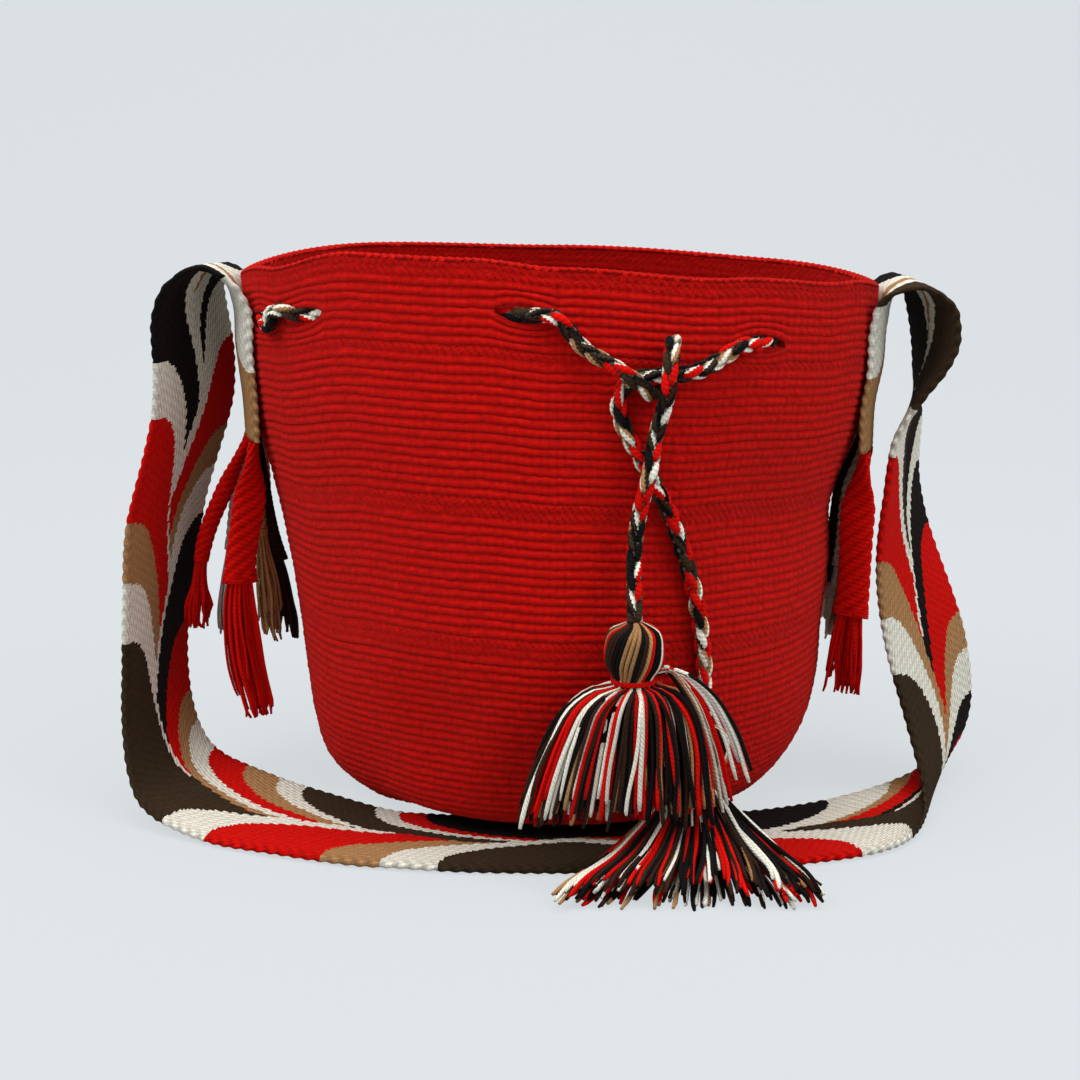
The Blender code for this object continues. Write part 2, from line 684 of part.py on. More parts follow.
def build_tail(side, tail, group):
    """One bundle of yarn that runs on from the strap's end and opens into a loose tuft."""
    name, finish, share, width, thickness, steps = tail
    frames = strap_frames()
    middle, across, face, sewn = frames[-1] if side > 0 else frames[0]
    start = strap_place(middle, across, face, sewn, share * STRAP_WIDTH, 0)
    start.z -= CLEARANCE
    rows = smooth_through(
        [
            (start.x + side * out, start.y + back, start.z + down, size / SHARE_SCALE)
            for out, back, down, size in steps
        ],
        TAIL_POINT_SPACING,
    )
    rings = []
    for x, y, z, size in rows:
        ring = []
        for step in range(TAIL_SIDES):
            turn = 2 * math.pi * (step + 0.5) / TAIL_SIDES
            along = across * math.cos(turn) * width / 2 * size * SHARE_SCALE
            through = face * math.sin(turn) * thickness / 2 * size * SHARE_SCALE
            ring.append(Vector((x, y, z)) + along + through)
        rings.append(ring)
    return finish_mesh(name, loft(rings), (finish,), group, sharp=60)


def cord_route():
    """The drawstring's points from the upper tassel round the bag to the lower one.

    Each is a distance along the wall to the right of the front's middle, a height, and an offset
    outside the wall's face. The cord changes sides in the middle of each slit.
    """
    out = CORD_RADIUS + CORD_REST
    inside = -WALL_THICKNESS - CORD_RADIUS - CORD_INNER_REST
    middle = -WALL_THICKNESS / 2
    half = SLIT_LENGTH / 2

    def through(name, side_before, side_after, turn=0):
        """Three points that lead through a slit, from its right end to its left."""
        distance, height = SLITS[name]
        distance += turn
        return [
            (distance + half, height, side_before),
            (distance, height, middle),
            (distance - half, height, side_after),
        ]

    round_bag = ARC_REACH[-1]
    upper_end = [
        (0.0358, 0.1270, 0.0180),
        (0.0362, 0.1390, 0.0155),
        (0.0376, 0.1570, 0.0098),
        (0.0398, 0.1760, 0.0090),
        (0.0422, 0.1965, 0.0122),
        (0.0446, 0.2130, 0.0092),
        (0.0460, 0.2245, 0.0135),
        (0.0468, 0.2340, 0.0182),
        (0.0474, 0.2455, 0.0188),
        (0.0484, 0.2540, 0.0167),
        (0.0504, 0.2572, 0.0112),
        (0.0520, 0.2525, 0.0055),
        (0.0516, 0.2430, out),
        (0.0490, 0.2342, out),
        (0.0434, 0.2318, 0.0072),
        (0.0376, 0.2362, 0.0118),
        (0.0300, 0.2424, 0.0125),
        (0.0200, 0.2482, 0.0080),
        (0.0100, 0.2540, out),
    ]
    front_left = through("front_left", out, inside)
    behind_front_left = [(-0.0600, 0.2655, inside), (-0.0950, 0.2635, inside)]
    far_left = through("front_far_left", inside, out)
    left = through("left_front", out, inside)
    left_in = [(-0.2100, 0.2550, inside), (-0.2430, 0.2540, inside), (-0.2750, 0.2540, inside)]
    left_rear = through("left_rear", inside, out, -round_bag)
    rear_out = [(0.4920 - round_bag, 0.2545, out)]
    rear_left = through("rear_left", out, inside, -round_bag)
    rear_in = [(0.3940 - round_bag, 0.2480, inside)]
    rear_right = through("rear_right", inside, out, -round_bag)
    right_out = [(0.2985 - round_bag, 0.2440, out)]
    right_rear = through("right_rear", out, inside, -round_bag)
    right_in = [
        (0.2150 - round_bag, 0.2440, inside),
        (0.1750 - round_bag, 0.2460, inside),
        (0.1420 - round_bag, 0.2490, inside),
    ]
    front_right = through("front_right", inside, out, -round_bag)
    lower_end = [
        (0.0720, 0.2450, 0.0060),
        (0.0600, 0.2422, 0.0105),
        (0.0492, 0.2415, 0.0110),
        (0.0404, 0.2408, 0.0072),
        (0.0342, 0.2388, out),
        (0.0290, 0.2348, out),
        (0.0270, 0.2270, out),
        (0.0300, 0.2170, out),
        (0.0362, 0.2065, out),
        (0.0430, 0.1960, out),
        (0.0530, 0.1820, out),
        (0.0635, 0.1640, out),
        (0.0715, 0.1420, out),
        (0.0775, 0.1190, out),
        (0.0812, 0.1000, out),
        (0.0808, 0.0850, 0.0060),
        (0.0778, 0.0700, 0.0135),
    ]
    route = upper_end + front_left + behind_front_left + far_left + left + left_in
    route += left_rear + rear_out + rear_left + rear_in + rear_right + right_out + right_rear
    route += right_in + front_right
    route += [(distance - round_bag, height, offset) for distance, height, offset in lower_end]
    return route


def cord_path():
    """The drawstring's middle line in space."""
    return [along_wall(*row) for row in smooth_through(cord_route(), CORD_POINT_SPACING)]


def build_drawstring(group):
    """The braided cord as one round tube through the slits, with the half knot at the front."""
    path = cord_path()
    curve = bpy.data.curves.new("drawstring", "CURVE")
    curve.dimensions = "3D"
    curve.bevel_depth = CORD_RADIUS
    curve.bevel_resolution = CORD_BEVEL_STEPS
    curve.use_fill_caps = True
    spline = curve.splines.new("POLY")
    spline.points.add(len(path) - 1)
    for point, place in zip(spline.points, path):
        point.co = (*place, 1)
    curve.materials.append(yarn(MIXED))
    cord = bpy.data.objects.new("drawstring", curve)
    group.objects.link(cord)
    return cord


def tassel_start(end, before):
    """Where a tassel's head begins under the slanting end of the cord."""
    ahead = (end - before).normalized()
    return end - Vector((0, 0, CLEARANCE + CORD_RADIUS * ahead.xy.length))


def tassel_rings(start, sections):
    """The ribbed rings of points down a tassel, from the top of its head."""
    rings = []
    across = Vector((1, 0, 0))
    for x, y, z, half_width, half_depth, rib, ahead in sections:
        middle = start + Vector((x, y, z))
        down = Vector((0, -math.sin(ahead), -math.cos(ahead)))
        through = down.cross(across)
        ring = []
        for step in range(2 * TASSEL_RIBS):
            turn = math.pi * step / TASSEL_RIBS
            sink = rib if step % 2 else 0.0
            aside = across * math.cos(turn) * (half_width - sink)
            ring.append(middle + aside + through * math.sin(turn) * (half_depth - sink))
        rings.append(ring)
    return rings


def build_tie(name, middle, ahead, group):
    """The yarn wound round a tassel's neck."""
    bpy.ops.mesh.primitive_torus_add(
        major_segments=TIE_STEPS_AROUND,
        minor_segments=TIE_STEPS_ACROSS,
        major_radius=TASSEL_NECK_RADIUS + TIE_RADIUS + CLEARANCE,
        minor_radius=TIE_RADIUS,
    )
    tie = bpy.context.object
    tie.name = name
    tie.data.name = name
    for owner in list(tie.users_collection):
        owner.objects.unlink(tie)
    group.objects.link(tie)
    tie.location = middle
    tie.rotation_euler = (-ahead, 0, 0)
    tie.data.materials.append(yarn(RED))
    tie.data.shade_smooth()


def build_tassel(name, end, before, sections, tie, group):
    """A tassel's round head, bound neck and spread skirt at an end of the drawstring, and its tie."""
    start = tassel_start(end, before)
    shape = loft(tassel_rings(start, sections))
    finish_mesh(name + "_yarn", shape, (MIXED,), group, sharp=60)
    right, back, up, ahead = tie
    build_tie(name + "_tie", start + Vector((right, back, up)), ahead, group)


def main():
    """Builds every piece of the bag."""
    clear_scene()
    pieces = new_collection("crochet_bucket_bag")
    cutters = new_collection("cutters")
    cutters.hide_render = True
    build_bag_body(pieces, cutters)
    build_shoulder_strap(pieces)
    for tail in LEFT_TAILS:
        build_tail(-1, tail, pieces)
    for tail in RIGHT_TAILS:
        build_tail(1, tail, pieces)
    build_drawstring(pieces)
    path = cord_path()
    build_tassel("tassel_upper", path[0], path[1], UPPER_TASSEL, UPPER_TIE, pieces)
    build_tassel("tassel_lower", path[-1], path[-2], LOWER_TASSEL, LOWER_TIE, pieces)


main()
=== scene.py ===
"""The looks of a crocheted bucket bag: stitched wall, woven strap, fringe, braided cord and tassels.

Metres, +Z up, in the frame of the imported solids, with the front towards -Y.
"""

import logging
import math
from collections.abc import Sequence
from dataclasses import dataclass
from enum import Enum
from functools import cached_property

import bpy
import numpy as np
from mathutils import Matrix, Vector


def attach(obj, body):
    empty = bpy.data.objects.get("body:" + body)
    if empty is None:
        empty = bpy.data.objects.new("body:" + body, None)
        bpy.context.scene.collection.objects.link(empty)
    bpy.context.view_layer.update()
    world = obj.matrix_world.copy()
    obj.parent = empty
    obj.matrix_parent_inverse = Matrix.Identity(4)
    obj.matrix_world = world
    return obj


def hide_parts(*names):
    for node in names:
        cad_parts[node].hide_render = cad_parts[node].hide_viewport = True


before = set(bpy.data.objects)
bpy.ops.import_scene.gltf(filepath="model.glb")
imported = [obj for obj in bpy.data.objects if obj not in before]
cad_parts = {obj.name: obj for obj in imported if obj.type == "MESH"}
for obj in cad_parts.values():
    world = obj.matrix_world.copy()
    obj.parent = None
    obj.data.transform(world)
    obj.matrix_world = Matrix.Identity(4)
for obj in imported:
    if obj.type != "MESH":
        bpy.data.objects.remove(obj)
log = logging.getLogger("bucket_bag")
Array = np.ndarray

BODY = "root"
# the colour attribute of every piece: the yarn's colour, with painted light and shade on the crochet, the
# strap, the ropes, the braid and the tassels' cores
COLOUR = "yarn"
MM = 0.001


class Yarn(Enum):
    """The cotton yarns, each by its colour as it is seen, 0 to 255."""

    RED = (206, 13, 6)
    DEEP_RED = (150, 9, 7)
    CREAM = (232, 228, 212)
    MAUVE = (196, 176, 172)
    TAN = (172, 128, 84)
    OLIVE = (56, 44, 30)
    BROWN = (52, 33, 25)
    DARK = (19, 18, 18)

    def light(self) -> Array:
        """The colour as linear light, three values from 0 to 1."""
        return as_light(self.value)


class Lay(Enum):
    """How the yarns of a rope lie in it."""

    BRAID = "braid"
    PLAIT = "plait"
    TWIST = "twist"


def as_light(colour: Sequence[float]) -> Array:
    """Turns a display colour into linear light.

    Args:
        colour: Red, green and blue from 0 to 255.

    Returns:
        Red, green and blue from 0 to 1.
    """
    share = np.asarray(colour, float) / 255
    return np.where(share <= 0.04045, share / 12.92, ((share + 0.055) / 1.055) ** 2.4)


def eased(share: Array) -> Array:
    """A share from 0 to 1 that starts and ends gently."""
    held = np.clip(share, 0.0, 1.0)
    return held * held * (3 - 2 * held)


def wave(phase: Array) -> Array:
    """A soft wave from 0 to 1, highest where the phase is a whole number."""
    return 0.5 + 0.5 * np.cos(2 * math.pi * np.asarray(phase))


def unit(rows: Array) -> Array:
    """The rows of an array made one long."""
    return rows / np.maximum(np.linalg.norm(rows, axis=-1, keepdims=True), 1e-12)


def between(share: Array, run: Array, ends: Sequence[Array], slopes: Sequence[Array]) -> Array:
    """Places on a smooth stretch of a curve.

    Args:
        share: How far along the stretch they lie, 0 to 1.
        run: The stretch's length.
        ends: The values at its start and its end.
        slopes: The slopes there.

    Returns:
        The values.
    """
    t = share
    return (
        (2 * t**3 - 3 * t**2 + 1) * ends[0]
        + (t**3 - 2 * t**2 + t) * run * slopes[0]
        + (3 * t**2 - 2 * t**3) * ends[1]
        + (t**3 - t**2) * run * slopes[1]
    )


def smooth_through(points: Sequence[Sequence[float]], spacing: float) -> Array:
    """Lays a smooth curve through points of any dimension.

    Args:
        points: The points, in order.
        spacing: About how far apart the points of the curve are.

    Returns:
        The curve's points, one row each.
    """
    places = np.asarray(points, float)
    runs = np.maximum(np.linalg.norm(np.diff(places, axis=0), axis=1), 1e-9)
    rates = np.diff(places, axis=0) / runs[:, None]
    slopes = np.empty_like(places)
    slopes[0], slopes[-1] = rates[0], rates[-1]
    before, after = runs[:-1, None], runs[1:, None]
    slopes[1:-1] = (rates[1:] * before + rates[:-1] * after) / (before + after)
    made = [places[0]]
    for index, run in enumerate(runs):
        steps = max(1, round(run / spacing))
        for step in range(1, steps + 1):
            made.append(between(step / steps, run, places[index : index + 2], slopes[index : index + 2]))
    return np.array(made)


def reach_of(path: Array) -> Array:
    """How far along a path each of its points lies."""
    return np.concatenate([[0.0], np.cumsum(np.linalg.norm(np.diff(path, axis=0), axis=1))])


def evenly(path: Array, spacing: float) -> Array:
    """Points an even spacing apart on a path of many points.

    Args:
        path: The path's points, one row each.
        spacing: The wanted spacing.

    Returns:
        The new points, from the path's first point to its last.
    """
    reach = reach_of(path)
    stops = np.linspace(0, reach[-1], max(2, round(reach[-1] / spacing) + 1))
    return np.column_stack([np.interp(stops, reach, path[:, axis]) for axis in range(path.shape[1])])


# pieces and finishes


def ring_faces(rows: int, columns: int) -> Array:
    """The quads between rings of points, each ring closed on itself.

    Args:
        rows: How many rings there are.
        columns: How many points each ring has.

    Returns:
        Four point numbers a quad, with the faces out where the rings turn left as they rise.
    """
    row, column = np.meshgrid(np.arange(rows - 1), np.arange(columns), indexing="ij")
    after = (column + 1) % columns
    quads = np.stack([row * columns + column, row * columns + after], axis=-1)
    upper = quads[..., ::-1] + columns
    return np.concatenate([quads, upper], axis=-1).reshape(-1, 4)


@dataclass
class Skin:
    """Points and faces of a piece that is being made, with a colour and a place in UV for each face."""

    points: Array
    quads: Array
    colours: Array
    uv: Array
    caps: list[list[int]]
    cap_colours: Array

    @classmethod
    def joined(cls, skins: Sequence["Skin"]) -> "Skin":
        """One skin of several.

        Args:
            skins: The skins, in order.

        Returns:
            The skin that holds them all.
        """
        starts = np.cumsum([0] + [len(skin.points) for skin in skins])
        caps = [[index + start for index in cap] for skin, start in zip(skins, starts) for cap in skin.caps]
        return cls(
            np.concatenate([skin.points for skin in skins]),
            np.concatenate([skin.quads + start for skin, start in zip(skins, starts)]),
            np.concatenate([skin.colours for skin in skins]),
            np.concatenate([skin.uv for skin in skins]),
            caps,
            np.concatenate([skin.cap_colours for skin in skins]),
        )

    def piece(self, name: str, finish: bpy.types.Material, slot: str) -> bpy.types.Object:
        """Makes the object, which rides on the bag.

        Args:
            name: The object's name.
            finish: Its material.
            slot: The record's material slot that the finish stands for; it is not used.

        Returns:
            The object.
        """
        mesh = bpy.data.meshes.new(name)
        sizes = np.array([4] * len(self.quads) + [len(cap) for cap in self.caps], int)
        corners = np.concatenate([self.quads.ravel(), np.concatenate([[], *self.caps])]).astype(int)
        mesh.vertices.add(len(self.points))
        mesh.vertices.foreach_set("co", self.points.astype(np.float32).ravel())
        mesh.loops.add(len(corners))
        mesh.loops.foreach_set("vertex_index", corners)
        mesh.polygons.add(len(sizes))
        mesh.polygons.foreach_set("loop_start", np.concatenate([[0], np.cumsum(sizes)[:-1]]))
        mesh.update(calc_edges=True)
        cap_sizes = np.array([len(cap) for cap in self.caps], int)
        ends = np.repeat(self.cap_colours.reshape(-1, 3), cap_sizes, axis=0)
        colours = np.concatenate([np.repeat(self.colours, 4, axis=0), ends])
        shown = mesh.color_attributes.new(name=COLOUR, type="FLOAT_COLOR", domain="CORNER")
        shown.data.foreach_set("color", np.column_stack([colours, np.ones(len(colours))]).ravel())
        places = np.concatenate([self.uv.reshape(-1, 2), np.zeros((len(ends), 2))])
        mesh.uv_layers.new(name="UVMap").data.foreach_set("uv", places.ravel())
        mesh.shade_smooth()
        mesh.materials.append(finish)
        made = bpy.data.objects.new(name, mesh)
        bpy.context.scene.collection.objects.link(made)
        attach(made, BODY)
        log.info("%s: %d faces", name, len(mesh.polygons))
        return made


def path_axes(path: Array, side: Array) -> tuple[Array, Array, Array]:
    """Directions along a path that don't spin around it.

    Args:
        path: The path's points.
        side: A direction that the first of the side directions is near.

    Returns:
        The directions ahead, to the first side and to the second side, one row for each point.
    """
    ahead = unit(np.gradient(path, axis=0))
    first = np.empty_like(ahead)
    now = np.asarray(side, float)
    for index, along in enumerate(ahead):
        now = now - along * (now @ along)
        now = now / max(np.linalg.norm(now), 1e-9)
        first[index] = now
    return ahead, first, np.cross(ahead, first)


def tube_skin(rings: Array, colours: Array, uv: Array) -> Skin:
    """Closes rings of points to a skin with a flat face on each end.

    Args:
        rings: The points, by ring and by place around it.
        colours: The colour of each quad, by ring and by place around it.
        uv: Four corners of two values for each quad.

    Returns:
        The skin.
    """
    count = rings.shape[1]
    points = rings.reshape(-1, 3)
    flat = colours.reshape(-1, 3)
    last = len(points) - count
    caps = [list(range(count))[::-1], list(range(last, len(points)))]
    return Skin(points, ring_faces(len(rings), count), flat, uv, caps, flat[[0, -1]])


@dataclass
class RoundBraid:
    """A round braid of four strands, whose lobes show in columns that lean to the left and right in turn."""

    radius: float
    lobe_spacing: float = 9.8 * MM
    lobe_half_length: float = 6.0 * MM
    lobe_half_width: float = 3.0 * MM
    lean: float = math.radians(21)
    lanes: int = 3
    # shares of the radius: the core, a lobe's edge, its rise, and its tilt and grooves
    core_reach: float = 0.40
    lobe_edge: float = 0.56
    lobe_rise: float = 0.44
    lobe_tilt: float = 0.05
    # how much of a turn's arc counts as distance to the side
    side_share: float = 0.88
    # painted shade and light: how dark the yarn is painted in the grooves, how much lighter the crests are
    # painted and how high the crests' full light starts
    groove_painted_shade: float = 0.18
    crest_painted_light: float = 0.87
    crest_rise: float = 0.32
    steps_around: int = 32
    step_along: float = 1.0 * MM
    seed: int = 3

    def relief(self, turn: Array, along: Array) -> tuple[Array, Array, Array]:
        """How far out the braid's surface lies and which yarn shows there.

        Args:
            turn: The angle around the braid.
            along: The distance along it.

        Returns:
            The share of the radius, the number of the lobe and the yarn's place in it.
        """
        best = np.full(turn.shape, self.core_reach)
        lobe = np.zeros(turn.shape, int)
        lane = np.zeros(turn.shape, int)
        for column in range(4):
            side = 1 if column % 2 else -1
            away = (turn - math.radians(45 + 90 * column) + math.pi) % (2 * math.pi) - math.pi
            shift = 0.5 * (column % 2)
            nearest = np.round(along / self.lobe_spacing - shift).astype(int)
            for step in (-1, 0, 1):
                number = nearest + step
                ahead = along - (number + shift) * self.lobe_spacing
                aside = away * self.side_share * self.radius
                u = ahead * math.cos(self.lean) + side * aside * math.sin(self.lean)
                v = aside * math.cos(self.lean) - side * ahead * math.sin(self.lean)
                inside = 1 - (u / self.lobe_half_length) ** 2 - (v / self.lobe_half_width) ** 2
                place = (v / self.lobe_half_width + 1) / 2 * self.lanes
                seam = np.abs(place % 1.0 - 0.5) * 2
                dome = self.lobe_edge + self.lobe_rise * np.sqrt(np.maximum(inside, 0))
                height = dome + self.lobe_tilt * u / self.lobe_half_length
                height = np.where(inside > 0, height - self.lobe_tilt * np.maximum(seam - 0.6, 0) / 0.4, 0.0)
                nearer = height > best
                best = np.where(nearer, height, best)
                lobe = np.where(nearer, 4 * (number % 997) + column, lobe)
                lane = np.where(nearer, np.clip(place, 0, self.lanes - 1).astype(int), lane)
        return best, lobe, lane

    def skin(self, path: Array, side: Array) -> Skin:
        """Lays the braid along a path.

        Args:
            path: The path's points.
            side: A direction to the side of the path's start.

        Returns:
            The braid's skin, closed at both ends.
        """
        places = evenly(path, self.step_along)
        _, first, second = path_axes(places, side)
        along = reach_of(places)
        turn = 2 * math.pi * np.arange(self.steps_around) / self.steps_around
        grid_turn, grid_along = np.meshgrid(turn, along)
        out, lobe, lane = self.relief(grid_turn, grid_along)
        reach = (out * self.radius)[..., None]
        around = first[:, None] * np.cos(grid_turn)[..., None]
        around = around + second[:, None] * np.sin(grid_turn)[..., None]
        draw = np.random.default_rng(self.seed)
        mixes = np.array([[yarn.light() for yarn in mix] for mix in BRAID_MIXES])
        chosen = draw.choice(len(mixes), size=int(lobe.max()) + 1)
        shade = 0.88 + 0.24 * draw.random(len(chosen))
        # painted shade in the grooves between the lobes and painted light on their crests
        crest = np.clip((out - self.lobe_edge) / self.crest_rise, 0, 1)
        painted_shading = (self.groove_painted_shade + self.crest_painted_light * crest) * shade[lobe]
        colours = mixes[chosen[lobe], lane] * painted_shading[..., None]
        return tube_skin(places[:, None] + around * reach, colours[:-1], tube_uv(along, self.steps_around))


BRAID_MIXES = (
    (Yarn.DARK, Yarn.OLIVE, Yarn.DARK),
    (Yarn.DARK, Yarn.DARK, Yarn.BROWN),
    (Yarn.OLIVE, Yarn.OLIVE, Yarn.BROWN),
    (Yarn.BROWN, Yarn.DARK, Yarn.DARK),
    (Yarn.RED, Yarn.RED, Yarn.CREAM),
    (Yarn.CREAM, Yarn.RED, Yarn.RED),
    (Yarn.RED, Yarn.RED, Yarn.DARK),
    (Yarn.RED, Yarn.RED, Yarn.RED),
    (Yarn.TAN, Yarn.CREAM, Yarn.TAN),
    (Yarn.CREAM, Yarn.TAN, Yarn.OLIVE),
    (Yarn.DARK, Yarn.OLIVE, Yarn.CREAM),
    (Yarn.CREAM, Yarn.CREAM, Yarn.DARK),
)


@dataclass
class Rope:
    """A round or flat rope of one colour, as one skin with the relief of the strands that wind in it."""

    radius: float
    yarn: Yarn
    strands: int
    pitch: float
    flatness: float = 1.0
    steps_around: int = 24
    step_along: float = 1.1 * MM
    groove: float = 0.35
    # painted shade and light: how dark the yarn is painted between the strands, and how much lighter it is
    # painted on them
    groove_painted_shade: float = 0.45
    crest_painted_light: float = 0.60

    def skin(self, path: Array, sides: Array, sizes: Array | None = None) -> Skin:
        """Lays the rope along a path.

        Args:
            path: The path's points.
            sides: The direction of the rope's width, at its start or at each point of the path.
            sizes: The rope's size at each point of the path, as a share of the radius, or None.

        Returns:
            The rope's skin, closed at both ends.
        """
        shares = np.ones(len(path)) if sizes is None else sizes
        if sides.ndim == 1:
            _, sides, _ = path_axes(path, sides)
        rows = evenly(np.column_stack([path, shares * MM, sides * MM]), self.step_along)
        places, shares = rows[:, :3], rows[:, 3] / MM
        ahead = unit(np.gradient(places, axis=0))
        first = unit(rows[:, 4:7] - ahead * (rows[:, 4:7] * ahead).sum(axis=1, keepdims=True))
        second = np.cross(ahead, first)
        along = reach_of(places)
        turn = 2 * math.pi * np.arange(self.steps_around) / self.steps_around
        grid_turn, grid_along = np.meshgrid(turn, along)
        phase = self.strands * (grid_turn / (2 * math.pi) - grid_along / self.pitch)
        dome = np.sqrt(np.maximum(1 - (2 * (phase % 1.0) - 1) ** 2, 0))
        out = (1 - self.groove * (1 - dome)) * self.radius * shares[:, None]
        spread = first[:, None] * (out * np.cos(grid_turn))[..., None]
        depth = second[:, None] * (out * np.sin(grid_turn) / self.flatness)[..., None]
        # painted shade between the strands and painted light on them
        colours = self.yarn.light() * (self.groove_painted_shade + self.crest_painted_light * dome)[..., None]
        return tube_skin(places[:, None] + spread + depth, colours[:-1], tube_uv(along, self.steps_around))


def tube_uv(along: Array, count: int) -> Array:
    """A tube's UV corners: the turns around across, and the millimetres along it up.

    Args:
        along: How far along the tube each ring lies.
        count: How many points a ring has.

    Returns:
        Four corners of two values for each quad.
    """
    row, column = np.meshgrid(np.arange(len(along) - 1), np.arange(count), indexing="ij")
    low, high = along[row] / MM, along[row + 1] / MM
    left, right = column / count, (column + 1) / count
    corners = [(left, low), (right, low), (right, high), (left, high)]
    return np.stack([np.stack(corner, axis=-1) for corner in corners], axis=-2).reshape(-1, 4, 2)


def strand_skin(path: Array, radius: float, yarn: Yarn, shade: float, sides: int = 5) -> Skin:
    """One loose yarn as a thin tube.

    Args:
        path: The points that it follows.
        radius: Half its thickness.
        yarn: Its colour.
        shade: How light it is against its fellows, about 1.
        sides: How many sides the tube has.

    Returns:
        The yarn's skin, closed at both ends.
    """
    _, first, second = path_axes(path, np.array([1.0, 0.2, 0.1]))
    turn = 2 * math.pi * np.arange(sides) / sides
    around = first[:, None] * np.cos(turn)[None, :, None] + second[:, None] * np.sin(turn)[None, :, None]
    swell = radius * np.where(np.arange(len(path)) == len(path) - 1, 0.7, 1.0)
    colours = np.broadcast_to(yarn.light() * shade, (len(path) - 1, sides, 3))
    return tube_skin(path[:, None] + around * swell[:, None, None], colours, tube_uv(reach_of(path), sides))


def node_group(name: str, inputs: dict[str, float], outputs: dict[str, str]) -> bpy.types.NodeTree:
    """A shader node group with its sockets and its two end nodes.

    Args:
        name: The group's name.
        inputs: The number inputs and their usual values.
        outputs: The outputs and their socket types.

    Returns:
        The group.
    """
    group = bpy.data.node_groups.new(name, "ShaderNodeTree")
    for socket, value in inputs.items():
        made = group.interface.new_socket(socket, in_out="INPUT", socket_type="NodeSocketFloat")
        made.default_value = value
    for socket, kind in outputs.items():
        group.interface.new_socket(socket, in_out="OUTPUT", socket_type=kind)
    group.nodes.new("NodeGroupInput")
    group.nodes.new("NodeGroupOutput")
    return group


def maths(
    tree: bpy.types.NodeTree, operation: str, *values: float | bpy.types.NodeSocket
) -> bpy.types.NodeSocket:
    """A maths node.

    Args:
        tree: The node tree that it goes in.
        operation: What it does.
        values: Its inputs in order, each a number or the socket that feeds it.

    Returns:
        Its output.
    """
    node = tree.nodes.new("ShaderNodeMath")
    node.operation = operation
    for socket, value in zip(node.inputs, values):
        if isinstance(value, bpy.types.NodeSocket):
            tree.links.new(value, socket)
        else:
            socket.default_value = value
    return node.outputs["Value"]


def scaled(
    tree: bpy.types.NodeTree, colour: bpy.types.NodeSocket, scale: bpy.types.NodeSocket
) -> bpy.types.NodeSocket:
    """A colour times a number, as the output of a node.

    Args:
        tree: The node tree that the node goes in.
        colour: The socket that feeds the colour.
        scale: The socket that feeds the number.

    Returns:
        The node's output.
    """
    node = tree.nodes.new("ShaderNodeVectorMath")
    node.operation = "SCALE"
    tree.links.new(colour, node.inputs["Vector"])
    tree.links.new(scale, node.inputs["Scale"])
    return node.outputs["Vector"]


def fibre_group() -> bpy.types.NodeTree:
    """The grain of spun cotton: a fine noise as a height, and soft blotches as a shade of the yarn.

    Returns:
        The group, with the sizes and the contrast in, and a Height and a Shade out.
    """
    group = node_group(
        "cotton_fibre",
        {"Grain per metre": 2600.0, "Blotches per metre": 330.0, "Contrast": 0.22},
        {"Height": "NodeSocketFloat", "Shade": "NodeSocketFloat"},
    )
    nodes, links = group.nodes, group.links
    given, result = nodes["Group Input"].outputs, nodes["Group Output"].inputs
    place = nodes.new("ShaderNodeTexCoord")
    noises = []
    for size, detail in (("Grain per metre", 3.0), ("Blotches per metre", 4.0)):
        noise = nodes.new("ShaderNodeTexNoise")
        noise.inputs["Detail"].default_value = detail
        links.new(place.outputs["Object"], noise.inputs["Vector"])
        links.new(given[size], noise.inputs["Scale"])
        noises.append(noise.outputs["Fac"])
    grain, blotch = noises
    blotch_height = 1.6
    links.new(maths(group, "MULTIPLY_ADD", blotch, blotch_height, grain), result["Height"])
    base = maths(group, "SUBTRACT", 1.0, given["Contrast"])
    both = maths(group, "ADD", grain, blotch)
    links.new(maths(group, "MULTIPLY_ADD", both, given["Contrast"], base), result["Shade"])
    return group


def ply_group() -> bpy.types.NodeTree:
    """The slanting plies of a twisted yarn, read from the piece's UV map, with painted shade in the grooves
    between them.

    Returns:
        The group, with the plies around and along the yarn in, and a Height and a Shade out.
    """
    group = node_group(
        "yarn_ply",
        {"Plies around": 3.0, "Plies per millimetre": 0.45},
        {"Height": "NodeSocketFloat", "Shade": "NodeSocketFloat"},
    )
    nodes, links = group.nodes, group.links
    given, result = nodes["Group Input"].outputs, nodes["Group Output"].inputs
    place = nodes.new("ShaderNodeTexCoord")
    parts = nodes.new("ShaderNodeSeparateXYZ")
    links.new(place.outputs["UV"], parts.inputs["Vector"])
    around = maths(group, "MULTIPLY", parts.outputs["X"], given["Plies around"])
    phase = maths(group, "MULTIPLY_ADD", parts.outputs["Y"], given["Plies per millimetre"], around)
    folded = maths(group, "PINGPONG", phase, 0.5)
    # painted shade: the yarn is darker in the grooves between the plies and lighter on their crests
    crest_gain, groove_shade = 0.70, 0.78
    links.new(folded, result["Height"])
    links.new(maths(group, "MULTIPLY_ADD", folded, crest_gain, groove_shade), result["Shade"])
    return group


